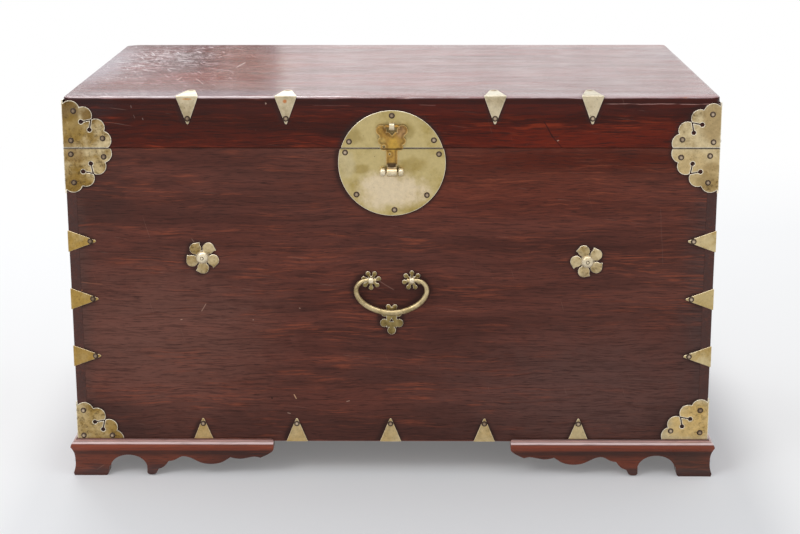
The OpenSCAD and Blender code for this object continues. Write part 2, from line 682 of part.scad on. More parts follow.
// Domed stud head with a small boss, on a shank through the front board
module stud_dome(i) color(brass_colour) let (p = stud_places[i],
        ball_r = (dome_r * dome_r + dome_h * dome_h) / (2 * dome_h)) {
    on_front(p[0], body_z + p[1], plate_t) rotate_extrude() {
        intersection() {
            translate([0, dome_h - ball_r]) circle(ball_r, $fn = 96);
            square([dome_r, dome_h]);
        }
        square([1.8, dome_h + 0.8]);
    }
    shank(p[0], body_z + p[1], plate_t, front_t);
}
module stud_dome_left() stud_dome(0);
module stud_dome_right() stud_dome(1);

// ---- hinges ----

knuckle_w = hinge_w / 3;
module at_hinge(side) translate([side * hinge_span / 2, back_y, hinge_z]) children();
module knuckle(x0, x1) translate([x0, hinge_out, 0]) rotate([0, 90, 0])
    cylinder(r = knuckle_r, h = x1 - x0);

// Leaf above (1) or below (-1) the axis, with its knuckles and the other leaf's room
module hinge_leaf(side, up) color(brass_colour) at_hinge(side) difference() {
    union() {
        slab([-hinge_w / 2, 0, up > 0 ? seam_gap / 2 : -hinge_leaf_h],
             [hinge_w / 2, hinge_leaf_t, up > 0 ? hinge_leaf_h : -seam_gap / 2]);
        if (up > 0) {
            knuckle(-knuckle_w / 2 + knuckle_gap, knuckle_w / 2 - knuckle_gap);
        } else for (s = [-1, 1]) translate([s * knuckle_w, 0, 0])
            knuckle(-knuckle_w / 2, knuckle_w / 2);
    }
    if (up > 0) {
        for (s = [-1, 1]) translate([s * knuckle_w, 0, 0])
            other_knuckle(-knuckle_w / 2 - knuckle_gap, knuckle_w / 2 + knuckle_gap);
    } else other_knuckle(-knuckle_w / 2, knuckle_w / 2);
    translate([-hinge_w, hinge_out, 0]) rotate([0, 90, 0])
        cylinder(r = hinge_pin_r + (up > 0 ? run_gap : 0), h = 2 * hinge_w);
}
module other_knuckle(x0, x1) translate([x0, hinge_out, 0]) rotate([0, 90, 0])
    cylinder(r = knuckle_r + knuckle_clear, h = x1 - x0);
module hinge_lower_leaf_left() hinge_leaf(-1, -1);
module hinge_lower_leaf_right() hinge_leaf(1, -1);
module hinge_upper_leaf_left() hinge_leaf(-1, 1);
module hinge_upper_leaf_right() hinge_leaf(1, 1);
module hinge_pin(side) color(brass_colour) at_hinge(side)
    translate([-hinge_w / 2 - 1, hinge_out, 0]) rotate([0, 90, 0])
        cylinder(r = hinge_pin_r, h = hinge_w + 2);
module hinge_pin_left() hinge_pin(-1);
module hinge_pin_right() hinge_pin(1);

front_board();
back_board();
left_side_board();
right_side_board();
bottom_board();
front_bracket_left();
front_bracket_right();
side_bracket_front_left();
side_bracket_front_right();
side_bracket_rear_left();
side_bracket_rear_right();
rear_bracket_left();
rear_bracket_right();
foot_glue_blocks();
lower_lock_plate();
lock_eye_left();
lock_eye_right();
body_corner_upper_left();
body_corner_upper_right();
body_corner_lower_left();
body_corner_lower_right();
side_straps_left();
side_straps_right();
bottom_straps();
bail_eye_left();
bail_eye_right();
bail_rosette_left();
bail_rosette_right();
bail_back_plate();
stud_rosette_left();
stud_rosette_right();
stud_dome_left();
stud_dome_right();
lock_plate_nails_lower();
body_corner_nails();
body_strap_nails();
hinge_lower_leaf_left();
hinge_lower_leaf_right();
hinge_pin_left();
hinge_pin_right();
lid_top_board();
lid_front_rail();
lid_back_rail();
lid_left_rail();
lid_right_rail();
upper_lock_plate();
hasp_eye();
lid_corner_left();
lid_corner_right();
lid_straps();
lock_plate_nails_upper();
lid_corner_nails();
lid_strap_nails();
hinge_upper_leaf_left();
hinge_upper_leaf_right();
hasp();
bail_handle();
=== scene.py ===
"""Looks for a lift-lid chest of lacquered boards with sheet-brass fittings.

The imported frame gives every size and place. Boards, nails, domes and eyes are surfaces
worked out with numpy. Cut plates, the bail and feet are the frame's own solids with softened rims.
Every finish is a node material on Object coordinates.
"""

import math

import bmesh
import bpy
import numpy as np
from mathutils import Matrix, Vector
from mathutils.geometry import delaunay_2d_cdt, tessellate_polygon


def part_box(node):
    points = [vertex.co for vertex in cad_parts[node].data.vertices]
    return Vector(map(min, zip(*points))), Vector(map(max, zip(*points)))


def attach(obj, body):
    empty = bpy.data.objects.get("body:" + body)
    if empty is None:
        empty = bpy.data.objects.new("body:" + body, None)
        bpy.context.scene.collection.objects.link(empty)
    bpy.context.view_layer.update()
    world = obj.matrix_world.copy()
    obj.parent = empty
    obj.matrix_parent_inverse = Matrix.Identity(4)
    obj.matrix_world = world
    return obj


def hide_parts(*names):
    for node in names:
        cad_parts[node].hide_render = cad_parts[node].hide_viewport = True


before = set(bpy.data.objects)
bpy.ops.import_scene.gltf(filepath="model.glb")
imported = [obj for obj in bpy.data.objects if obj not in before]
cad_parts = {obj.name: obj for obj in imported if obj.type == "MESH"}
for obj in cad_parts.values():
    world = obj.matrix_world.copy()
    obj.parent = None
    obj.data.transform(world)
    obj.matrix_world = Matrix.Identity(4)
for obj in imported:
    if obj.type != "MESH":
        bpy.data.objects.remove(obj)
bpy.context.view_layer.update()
MM = 0.001
X, Y, Z = 0, 1, 2

# ---- camera ----

CAMERA_PLACE = (0.03751, -2.5979, 0.9206)
CAMERA_TURN = (0.6308, 75.915, -0.105)  # yaw, tilt from straight down, roll, in degrees
CAMERA_LENS = 77.42
CAMERA_SHIFT = -0.025


def make_camera():
    """Turn = yaw about Z, then tilt about X, then roll about the line of sight."""
    data = bpy.data.cameras.new("camera")
    data.lens = CAMERA_LENS
    data.shift_y = CAMERA_SHIFT
    yaw, tilt, roll = (math.radians(a) for a in CAMERA_TURN)
    camera = bpy.data.objects.new("camera", data)
    turn = Matrix.Rotation(yaw, 4, "Z") @ Matrix.Rotation(tilt, 4, "X")
    camera.matrix_world = Matrix.Translation(CAMERA_PLACE) @ turn @ Matrix.Rotation(roll, 4, "Z")
    bpy.context.scene.collection.objects.link(camera)
    bpy.context.scene.camera = camera


make_camera()
bpy.context.scene.view_settings.view_transform = "Standard"

# ---- sizes from the frame ----

top_lo, top_hi = (np.array(c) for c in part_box("lid_top_board"))
front_y = top_lo[Y]
back_y = top_hi[Y]
side_x = top_hi[X]
rim_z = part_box("front_board")[1][Z]

# ---- node helpers ----


def node(tree, kind, inputs=None, **settings):
    """Makes a node, sets its options, and links or sets the named or numbered inputs."""
    made = tree.nodes.new(kind)
    for key, value in settings.items():
        setattr(made, key, value)
    for key, value in (inputs or {}).items():
        if isinstance(value, bpy.types.NodeSocket):
            tree.links.new(value, made.inputs[key])
        else:
            made.inputs[key].default_value = value
    return made


def calc(tree, operation, a, b=0.0, clamp=False):
    """One Math node."""
    made = node(tree, "ShaderNodeMath", {0: a, 1: b}, operation=operation, use_clamp=clamp)
    return made.outputs[0]


def plus(tree, a, b, clamp=False):
    """a + b."""
    return calc(tree, "ADD", a, b, clamp)


def minus(tree, a, b, clamp=False):
    """a - b."""
    return calc(tree, "SUBTRACT", a, b, clamp)


def times(tree, a, b, clamp=False):
    """a * b."""
    return calc(tree, "MULTIPLY", a, b, clamp)


def larger(tree, a, b):
    """The larger one of a and b."""
    return calc(tree, "MAXIMUM", a, b)


def axes_of(tree, place):
    """The three values of a place."""
    return tuple(node(tree, "ShaderNodeSeparateXYZ", {0: place}).outputs)


def joined(tree, x, y, z):
    """Three values as one place."""
    return node(tree, "ShaderNodeCombineXYZ", {0: x, 1: y, 2: z}).outputs[0]


def vector_calc(tree, operation, a, b=(0, 0, 0)):
    """One Vector Math node, with its vector result."""
    return node(tree, "ShaderNodeVectorMath", {0: a, 1: b}, operation=operation).outputs[0]


def measure(tree, operation, a, b=(0, 0, 0)):
    """One Vector Math node, with its single-number result."""
    return node(tree, "ShaderNodeVectorMath", {0: a, 1: b}, operation=operation).outputs[1]


def rise(tree, value, low, high, to_low=0.0, to_high=1.0):
    """Smooth step of value from low to high, clamped."""
    ends = {0: value, 1: low, 2: high, 3: to_low, 4: to_high}
    return node(tree, "ShaderNodeMapRange", ends, interpolation_type="SMOOTHSTEP").outputs[0]


def noise(tree, place, stretch, detail=2.0, rough=0.5, colour=False):
    """Noise whose cells measure one over stretch along each axis."""
    stretched = vector_calc(tree, "MULTIPLY", place, stretch)
    settings = {"Vector": stretched, "Scale": 1.0, "Detail": detail, "Roughness": rough}
    made = node(tree, "ShaderNodeTexNoise", settings)
    return made.outputs[1 if colour else 0]


def wobble(tree, place, stretch, detail):
    """Three noises at once, each from -0.5 to 0.5."""
    free = noise(tree, place, stretch, detail, colour=True)
    return vector_calc(tree, "SUBTRACT", free, (0.5, 0.5, 0.5))


def scaled(tree, way, factor):
    """A way made longer or shorter by a factor."""
    made = node(tree, "ShaderNodeVectorMath", {0: way, "Scale": factor}, operation="SCALE")
    return made.outputs[0]


def tint(tree, factor, a, b, blend="MIX"):
    """One colour Mix node."""
    made = node(
        tree, "ShaderNodeMix", {0: factor, 6: a, 7: b}, data_type="RGBA", blend_type=blend
    )
    return made.outputs[2]


def lay(tree, tone, mask, colour, strength):
    """Tone with a colour laid over it where the mask is, as far as strength says."""
    return tint(tree, times(tree, mask, strength), tone, colour)


def rgb(*values):
    """Screen colour from 0 to 255 as the linear colour that a shader takes."""
    level = np.array(values, float) / 255
    linear = np.where(level <= 0.04045, level / 12.92, ((level + 0.055) / 1.055) ** 2.4)
    return tuple(float(v) for v in linear) + (1.0,)


def new_group(name, inputs, outputs):
    """Empty shader group, with the sockets that it is given and those that it hands out.
    Inputs are (label, kind, value) and outputs (label, kind)."""
    tree = bpy.data.node_groups.new(name, "ShaderNodeTree")
    for label, kind, value in inputs:
        socket = tree.interface.new_socket(label, in_out="INPUT", socket_type=kind)
        socket.default_value = value
    for label, kind in outputs:
        tree.interface.new_socket(label, in_out="OUTPUT", socket_type=kind)
    return tree, node(tree, "NodeGroupInput").outputs, node(tree, "NodeGroupOutput").inputs


def use(tree, group, **inputs):
    """Places a shared group in a tree. Underscores in a label's key stand for spaces."""
    made = tree.nodes.new("ShaderNodeGroup")
    made.node_tree = group
    for key, value in inputs.items():
        socket = made.inputs[key.replace("_", " ")]
        if isinstance(value, bpy.types.NodeSocket):
            tree.links.new(value, socket)
        else:
            socket.default_value = value
    return made.outputs


FLOAT, VECTOR = "NodeSocketFloat", "NodeSocketVector"

# ---- shared effects ----


def make_grain_group():
    """Figure of a sawn board. Place is (along the grain, across it, into the board) in metres.

    Wavy place = place + a slow noise across. Bands, streaks and pores are noises of that place,
    each stretched along the grain, and streaks show only where a slower noise lets them.
    """
    tree, given, out = new_group(
        "board grain",
        [("Place", VECTOR, (0, 0, 0)), ("Seed", FLOAT, 0.0)],
        [(label, FLOAT) for label in ("Bands", "Streaks", "Threads", "Pores")],
    )
    seed = joined(tree, given["Seed"], given["Seed"], 0.0)
    start = vector_calc(tree, "ADD", given["Place"], seed)
    drift = wobble(tree, start, (8, 14, 14), 3.0)
    sway = vector_calc(tree, "MULTIPLY", drift, (0, 0.017, 0.004))
    wavy = vector_calc(tree, "ADD", start, sway)
    bands = noise(tree, wavy, (2.6, 36, 36), 4.0, 0.62)
    cover = noise(tree, wavy, (10, 60, 60), 3.0, 0.6)
    streaks = noise(tree, wavy, (20, 310, 190), 3.0, 0.64)
    threads = noise(tree, wavy, (24, 440, 270), 3.0, 0.62)
    pores = noise(tree, wavy, (60, 900, 700), 2.0)
    shown = rise(tree, cover, 0.40, 0.64)
    links = tree.links.new
    links(rise(tree, bands, 0.32, 0.68), out["Bands"])
    links(times(tree, rise(tree, streaks, 0.45, 0.70), shown), out["Streaks"])
    links(rise(tree, threads, 0.46, 0.70), out["Threads"])
    links(rise(tree, pores, 0.56, 0.70), out["Pores"])
    return tree


def make_scratch_group():
    """Short straight scratches. The place is turned by Angle about Z and stretched, and a high
    step of its noise leaves thin lines, broken by a second noise."""
    tree, given, out = new_group(
        "short scratches",
        [
            ("Place", VECTOR, (0, 0, 0)),
            ("Angle", FLOAT, 0.0),
            ("Amount", FLOAT, 0.5),
            ("Fineness", FLOAT, 640.0),
        ],
        [("Scratches", FLOAT)],
    )
    turned = node(
        tree,
        "ShaderNodeVectorRotate",
        {"Vector": given["Place"], "Angle": given["Angle"]},
        rotation_type="Z_AXIS",
    ).outputs[0]
    narrow = joined(tree, 13.0, given["Fineness"], 13.0)
    lines = noise(tree, turned, narrow, 1.0)
    gaps = noise(tree, turned, (55, 60, 13), 1.0)
    low = minus(tree, 0.80, times(tree, given["Amount"], 0.16))
    above = minus(tree, lines, low)
    line = rise(tree, above, 0.0, 0.035)
    broken = rise(tree, gaps, 0.42, 0.56)
    tree.links.new(times(tree, line, broken), out["Scratches"])
    return tree


def make_patch_group():
    """Soft ragged patch round Middle. Its value falls from 1 to 0 as the length of
    (place - middle) / reach, plus a noise, goes from 1 - Softness to 1."""
    tree, given, out = new_group(
        "soft patch",
        [
            ("Place", VECTOR, (0, 0, 0)),
            ("Middle", VECTOR, (0, 0, 0)),
            ("Reach", VECTOR, (1, 1, 1)),
            ("Softness", FLOAT, 0.5),
            ("Raggedness", FLOAT, 0.5),
        ],
        [("Patch", FLOAT)],
    )
    offset = vector_calc(tree, "SUBTRACT", given["Place"], given["Middle"])
    shape = measure(tree, "LENGTH", vector_calc(tree, "DIVIDE", offset, given["Reach"]))
    ragged = noise(tree, given["Place"], (60, 60, 60), 3.0, 0.6)
    push = times(tree, minus(tree, ragged, 0.5), given["Raggedness"])
    distance = plus(tree, shape, push)
    inner = minus(tree, 1.0, given["Softness"])
    tree.links.new(rise(tree, distance, 1.0, inner), out["Patch"])
    return tree


def make_line_group():
    """Fine line from Start to End. Along = clamped share of the way, off = distance from the
    way with a small wander, and the mark fades with off / Width and near both ends."""
    tree, given, out = new_group(
        "line mark",
        [
            ("Place", VECTOR, (0, 0, 0)),
            ("Start", VECTOR, (0, 0, 0)),
            ("End", VECTOR, (1, 0, 0)),
            ("Width", FLOAT, 0.0006),
            ("Wander", FLOAT, 0.003),
        ],
        [("Mark", FLOAT)],
    )
    place = given["Place"]
    shake = scaled(tree, wobble(tree, place, (28, 28, 28), 2.0), given["Wander"])
    shaken = vector_calc(tree, "ADD", place, shake)
    from_start = vector_calc(tree, "SUBTRACT", shaken, given["Start"])
    way = vector_calc(tree, "SUBTRACT", given["End"], given["Start"])
    gone = measure(tree, "DOT_PRODUCT", from_start, way)
    whole = measure(tree, "DOT_PRODUCT", way, way)
    share = calc(tree, "DIVIDE", gone, whole, clamp=True)
    beside = vector_calc(tree, "SUBTRACT", from_start, scaled(tree, way, share))
    off = measure(tree, "LENGTH", beside)
    thin = calc(tree, "DIVIDE", off, given["Width"])
    both_ends = times(tree, share, minus(tree, 1.0, share))
    taper = times(tree, both_ends, 12.0, True)
    mark = times(tree, rise(tree, thin, 1.0, 0.35), taper)
    tree.links.new(mark, out["Mark"])
    return tree


def make_fleck_group():
    """Small chips: Voronoi cells of one over Scale, of which a random few show a dot whose
    edge is roughened by noise."""
    tree, given, out = new_group(
        "flecks",
        [("Place", VECTOR, (0, 0, 0)), ("Scale", FLOAT, 60.0), ("Share", FLOAT, 0.03)],
        [("Flecks", FLOAT)],
    )
    place = given["Place"]
    ragged = scaled(tree, wobble(tree, place, (400, 400, 400), 2.0), 0.0035)
    cells = node(
        tree,
        "ShaderNodeTexVoronoi",
        {"Vector": vector_calc(tree, "ADD", place, ragged), "Scale": given["Scale"]},
    )
    chance = node(tree, "ShaderNodeSeparateColor", {0: cells.outputs["Color"]}).outputs[0]
    chosen = calc(tree, "LESS_THAN", chance, given["Share"])
    dot = rise(tree, cells.outputs["Distance"], 0.11, 0.05)
    tree.links.new(times(tree, chosen, dot), out["Flecks"])
    return tree


def make_tarnish_group():
    """Tarnish of old brass. Tarnish = step of a noise moved by Amount, mottle = a finer noise
    from 0.82 to 1.10, fine = that noise itself, spots = the peaks of a still finer one, and
    stains = the peaks of a ragged noise where the tarnish is strong."""
    tree, given, out = new_group(
        "brass tarnish",
        [("Place", VECTOR, (0, 0, 0)), ("Amount", FLOAT, 0.5)],
        [(label, FLOAT) for label in ("Tarnish", "Mottle", "Spots", "Fine", "Stains")],
    )
    place = given["Place"]
    large = noise(tree, place, (27, 27, 27), 4.0, 0.62)
    moved = plus(tree, large, times(tree, given["Amount"], 0.36))
    fine = noise(tree, place, (150, 150, 150), 4.0, 0.7)
    specks = noise(tree, place, (520, 520, 520), 1.0)
    stains = noise(tree, place, (210, 210, 210), 4.0, 0.75)
    stained = times(tree, rise(tree, stains, 0.49, 0.66), rise(tree, moved, 0.56, 0.74))
    links = tree.links.new
    links(rise(tree, moved, 0.55, 0.87), out["Tarnish"])
    links(stained, out["Stains"])
    links(rise(tree, fine, 0.3, 0.7, 0.82, 1.10), out["Mottle"])
    links(fine, out["Fine"])
    links(rise(tree, specks, 0.66, 0.74), out["Spots"])
    return tree


grain_group = make_grain_group()
scratch_group = make_scratch_group()
patch_group = make_patch_group()
line_group = make_line_group()
fleck_group = make_fleck_group()
tarnish_group = make_tarnish_group()

# ---- wood finishes ----


def start_material(name):
    """Material with a Principled shader. Gives the material, its tree, shader and place."""
    material = bpy.data.materials.new(name)
    material.use_nodes = True
    tree = material.node_tree
    shader = tree.nodes["Principled BSDF"]
    place = node(tree, "ShaderNodeTexCoord").outputs["Object"]
    return material, tree, shader, place


def along_grain(tree, place, order):
    """Place with its axes put in the order (along the grain, across it, into the board)."""
    values = axes_of(tree, place)
    return joined(tree, *(values[axis] for axis in order))


def point_value(tree, name):
    """Value that a piece's own mesh holds under this name, 0 on a piece without it."""
    return node(tree, "ShaderNodeAttribute", attribute_name=name).outputs["Fac"]


CALMED = 0.75  # share of the streaks that a calm area takes away
DULLED = 0.22  # roughness added at the borders of fittings and on bare wood
SCUFFED = 0.3  # roughness added by scratches and blotches
GRAIN_DEPTH = 0.4 * MM


def wood(name, order, look, patches=(), marks=()):
    """Lacquered board. Its tone runs from deep to main by the bands. Over it lie cloudy haze,
    patches (middle, reach, tone, strength), fine threads, streaks, pores, the paler strip, the
    dull dark borders of the fittings, rubbed arrises (on the top board partly a painted
    highlight), level bands (mostly painted highlight and shade by height), scratches, blotches,
    flecks and line marks (start, end, width, tone, strength). Streaks come and go with a slow noise
    and fade in the calm areas (middle, reach). Roughness and a fine bump follow the same masks.
    """
    material, tree, shader, place = start_material(name)
    board = along_grain(tree, place, order)
    grain = use(tree, grain_group, Place=board, Seed=look["seed"])
    tone = tint(tree, grain["Bands"], look["deep"], look["main"])
    cloud = rise(tree, noise(tree, board, (2.2, 5, 5), 4.0, 0.6), 0.35, 0.7)
    tone = lay(tree, tone, cloud, look["haze"], look["haze_strength"])
    for middle, reach, patch_tone, strength in patches:
        patch = use(tree, patch_group, Place=place, Middle=middle, Reach=reach, Softness=0.8)[0]
        tone = lay(tree, tone, patch, patch_tone, strength)
    tone = lay(tree, tone, grain["Threads"], look["thread"], look["thread_strength"])
    lively = rise(tree, noise(tree, board, (3.5, 17, 13), 4.0, 0.6), 0.36, 0.62, 0.2, 1.0)
    for middle, reach in look["calm"]:
        quiet = use(tree, patch_group, Place=place, Middle=middle, Reach=reach, Softness=1.0)[0]
        lively = times(tree, lively, minus(tree, 1.0, times(tree, quiet, CALMED)))
    streaks = times(tree, grain["Streaks"], lively)
    tone = lay(tree, tone, streaks, look["streak"], look["streak_strength"])
    tone = lay(tree, tone, grain["Pores"], look["pore"], look["pore_strength"])
    ragged = noise(tree, board, (45, 210, 210), 3.0, 0.6)
    strip = times(tree, point_value(tree, "strip"), look["strip_strength"])
    tone = lay(tree, tone, strip, look["strip"], rise(tree, ragged, 0.3, 0.7, 0.6, 1.0))
    spread = times(tree, minus(tree, ragged, 0.5), 0.9)
    border = point_value(tree, "border")
    border = rise(tree, plus(tree, border, times(tree, spread, border)), 0.05, 0.95)
    tone = lay(tree, tone, border, look["border"], look["border_strength"])
    # Rubbed arrises: wear, and on the top board partly a painted highlight.
    arris = minus(tree, point_value(tree, "arris"), strip, True)
    rubbed = rise(tree, plus(tree, arris, times(tree, spread, 1.1)), 0.55, 1.0)
    rubbed = times(tree, rubbed, look["rubbed_strength"])
    tone = tint(tree, rubbed, tone, look["rubbed"])
    up = axes_of(tree, place)[Z]
    streaky = rise(tree, grain["Threads"], 0.0, 1.0, 1.0, 0.7)
    for low, high, soft, band_tone, strength in look["levels"]:
        over = rise(tree, up, (low - soft) * MM, (low + soft) * MM)
        under = rise(tree, up, (high + soft) * MM, (high - soft) * MM, 0.0, strength)
        tone = lay(tree, tone, times(tree, over, under), band_tone, streaky)
    scored = scuffed = 0.0
    for angle, amount in look["scratches"]:
        lines = use(
            tree, scratch_group, Place=board, Angle=math.radians(angle), Amount=amount,
            Fineness=look["fineness"],
        )[0]
        scored = larger(tree, lines, scored)
    if look["scratches"]:
        worn = point_value(tree, "worn")
        scored = times(tree, scored, plus(tree, worn, look["scratch_strength"], True))
        if look["blotch"]:
            blotchy = rise(tree, noise(tree, board, (70, 95, 60), 5.0, 0.78), 0.50, 0.60)
            blotchy = times(tree, blotchy, worn)
            tone = lay(tree, tone, blotchy, look["blotch"], 0.9)
            scuffed = larger(tree, blotchy, scored)
        tone = tint(tree, scored, tone, look["scratch"])
    size, share = look["fleck_scale"], look["fleck_share"]
    flecks = use(tree, fleck_group, Place=board, Scale=size, Share=share)[0]
    tone = lay(tree, tone, flecks, look["fleck"], 0.8)
    for start, end, width, mark_tone, strength in marks:
        mark = use(tree, line_group, Place=place, Start=start, End=end, Width=width)[0]
        tone = lay(tree, tone, mark, mark_tone, strength)
    bare = point_value(tree, "bare")
    tone = tint(tree, bare, tone, tint(tree, grain["Streaks"], look["bare"], look["bare_streak"]))
    tree.links.new(tone, shader.inputs["Base Color"])
    uneven = times(tree, minus(tree, cloud, 0.5), look["rough_swing"])
    dull = times(tree, larger(tree, border, bare), DULLED)
    rough = plus(tree, plus(tree, look["rough"], uneven), dull)
    rough = plus(tree, rough, times(tree, scuffed, SCUFFED))
    rough = plus(tree, rough, times(tree, ragged, 0.06), True)
    tree.links.new(rough, shader.inputs["Roughness"])
    shader.inputs["Specular IOR Level"].default_value = look["specular"]
    if look["coat_swing"]:
        least, most = look["coat"] - look["coat_swing"], look["coat"] + look["coat_swing"]
        gloss = rise(tree, noise(tree, board, (13, 42, 34), 5.0, 0.66), 0.3, 0.7, least, most)
        gloss = times(tree, gloss, minus(tree, 1.0, rubbed), True)
        tree.links.new(gloss, shader.inputs["Coat Weight"])
    else:
        shader.inputs["Coat Weight"].default_value = look["coat"]
    shader.inputs["Coat Roughness"].default_value = look["coat_rough"]
    depth = plus(tree, grain["Threads"], times(tree, grain["Pores"], -1.2))
    wave = noise(tree, board, (9, 60, 60), 3.0, 0.5)
    depth = plus(tree, depth, times(tree, wave, look["wave"]))
    bump = node(
        tree, "ShaderNodeBump", {"Height": depth, "Strength": look["bump"], "Distance": GRAIN_DEPTH}
    )
    tree.links.new(bump.outputs[0], shader.inputs["Normal"])
    return material


FRONT_LOOK = dict(
    seed=1.7,
    deep=rgb(78, 41, 33),
    main=rgb(106, 58, 47),
    thread=rgb(56, 33, 28),
    thread_strength=0.58,
    streak=rgb(152, 78, 54),
    streak_strength=0.7,
    calm=(
        ((0.32, front_y, 0.13), (0.38, 0.06, 0.21)),
        ((-0.42, front_y, 0.22), (0.12, 0.06, 0.3)),
    ),
    pore=rgb(40, 24, 22),
    pore_strength=0.55,
    haze=rgb(98, 66, 58),
    haze_strength=0.35,
    strip=rgb(78, 59, 55),
    strip_strength=0.8,
    border=rgb(48, 33, 30),
    border_strength=0.75,
    rubbed=rgb(158, 92, 72),
    rubbed_strength=0.4,
    scratches=((8, 0.3), (74, 0.1)),
    scratch=rgb(160, 126, 112),
    scratch_strength=0.22,
    fineness=640.0,
    blotch=None,
    fleck=rgb(190, 160, 140),
    fleck_scale=55.0,
    fleck_share=0.012,
    bare=rgb(150, 112, 76),
    bare_streak=rgb(120, 84, 54),
    rough=0.36,
    rough_swing=0.10,
    specular=0.12,
    coat=0.0,
    coat_swing=0.0,
    coat_rough=0.1,
    levels=(),
    wave=0.8,
    bump=0.35,
)
LID_LOOK = dict(
    FRONT_LOOK,
    seed=6.1,
    deep=rgb(56, 17, 8),
    main=rgb(106, 31, 13),
    streak=rgb(162, 60, 28),
    streak_strength=0.66,
    thread=rgb(44, 18, 13),
    thread_strength=0.75,
    calm=(),
    haze=rgb(72, 38, 32),
    haze_strength=0.3,
    rubbed_strength=0.1,
    # Level bands: a darker band at the top of the rail, and painted shade over the top board's
    # front face.
    levels=((524, 540, 3.5, rgb(58, 28, 24), 0.5), (538, 547.2, 0.8, rgb(46, 22, 19), 0.7)),
    rough=0.25,
    specular=0.14,
    fleck_scale=70.0,
    fleck_share=0.045,
)
TOP_LOOK = dict(
    FRONT_LOOK,
    seed=3.3,
    deep=rgb(122, 54, 50),
    main=rgb(164, 76, 70),
    streak=rgb(190, 98, 78),
    streak_strength=0.4,
    calm=(),
    thread_strength=0.16,
    pore_strength=0.3,
    haze=rgb(150, 104, 102),
    haze_strength=0.4,
    border_strength=0.3,
    # Pale band along the front arris: worn edge, and partly a painted highlight.
    rubbed=rgb(206, 182, 182),
    rubbed_strength=0.8,
    scratches=((38, 1.15), (-26, 1.1), (72, 1.0), (12, 1.0)),
    scratch=rgb(240, 226, 226),
    scratch_strength=0.03,
    fineness=230.0,
    blotch=rgb(220, 200, 202),
    rough=0.10,
    rough_swing=0.05,
    specular=0.24,
    coat=0.36,
    coat_swing=0.2,
    coat_rough=0.07,
    fleck_share=0.004,
    wave=1.4,
    bump=0.25,
)
SIDE_LOOK = dict(FRONT_LOOK, seed=8.4, haze_strength=0.3, calm=())
FOOT_LOOK = dict(
    FRONT_LOOK,
    seed=4.9,
    deep=rgb(66, 31, 22),
    main=rgb(120, 58, 38),
    streak=rgb(164, 80, 48),
    streak_strength=0.6,
    calm=(),
    haze_strength=0.1,
    rough=0.28,
    rubbed_strength=0.6,
    specular=0.2,
    coat=0.2,
    # Level bands (low, high, softness, tone, strength): darker towards the bottom, painted shade in
    # the cove under the bead, a painted highlight on the bead, a pale painted highlight on the
    # moulding's shoulder with a pinker one above it, and a painted shadow line on the ledge under
    # the board.
    levels=(
        (-5, 9, 6, rgb(62, 42, 40), 0.6),
        (31, 37, 2.2, rgb(58, 34, 28), 0.6),
        (38.5, 47.8, 1.2, rgb(150, 68, 40), 0.62),
        (48.3, 50.9, 0.5, rgb(234, 204, 200), 0.9),
        (51.2, 53.2, 0.4, rgb(206, 164, 156), 0.8),
        (53.7, 54.3, 0.3, rgb(44, 26, 24), 0.7),
    ),
)


def at(x, y, z):
    """Millimetres in the frame as metres."""
    return (x * MM, y * MM, z * MM)


face_mm = front_y / MM


def front_patch(x, z, wide, high, tone, strength, deep=30):
    """Patch round a spot of the front, in millimetres: its middle, reach, tone and strength."""
    return at(x, face_mm, z), at(wide, deep, high), rgb(*tone), strength


def front_mark(x, z, to_x, to_z, width, tone, strength):
    """Line on the front, in millimetres: its start, end, width, tone and strength."""
    return at(x, face_mm, z), at(to_x, face_mm, to_z), width * MM, rgb(*tone), strength


TOP_MM = 548  # height of the top board's face


def top_patch(x, y, wide, deep, tone, strength):
    """Patch round a spot of the top board, as front_patch."""
    return at(x, y, TOP_MM), at(wide, deep, 30), rgb(*tone), strength


def top_mark(x, y, to_x, to_y, width, tone, strength):
    """Line on the top board, as front_mark."""
    return at(x, y, TOP_MM), at(to_x, to_y, TOP_MM), width * MM, rgb(*tone), strength


FRONT_PATCHES = (
    front_patch(-443, 282, 7, 9, (150, 70, 34), 0.7, 20),
    front_patch(-60, 112, 120, 40, (110, 58, 46), 0.35, 20),
    front_patch(-320, 200, 230, 160, (128, 86, 74), 0.5, 20),
    front_patch(0, 66, 460, 26, (58, 36, 32), 0.45, 20),
    front_patch(330, 90, 160, 60, (70, 48, 43), 0.25, 20),
    front_patch(150, 440, 330, 60, (112, 50, 32), 0.45, 20),
    front_patch(270, 462, 300, 26, (88, 32, 18), 0.85, 20),
    front_patch(-250, 464, 200, 20, (84, 46, 38), 0.5, 20),
    front_patch(300, 120, 300, 120, (100, 74, 68), 0.5, 20),
    front_patch(0, 330, 110, 40, (84, 50, 43), 0.5, 20),
    front_patch(150, 400, 300, 40, (118, 54, 38), 0.3, 20),
    front_patch(-420, 420, 90, 90, (64, 42, 37), 0.65, 20),
    front_patch(-420, 70, 110, 70, (62, 42, 38), 0.6, 20),
    front_patch(420, 70, 90, 60, (62, 42, 38), 0.5, 20),
    front_patch(455, 250, 66, 330, (80, 60, 56), 0.9, 20),
    front_patch(-455, 250, 44, 330, (86, 64, 58), 0.85, 20),
)
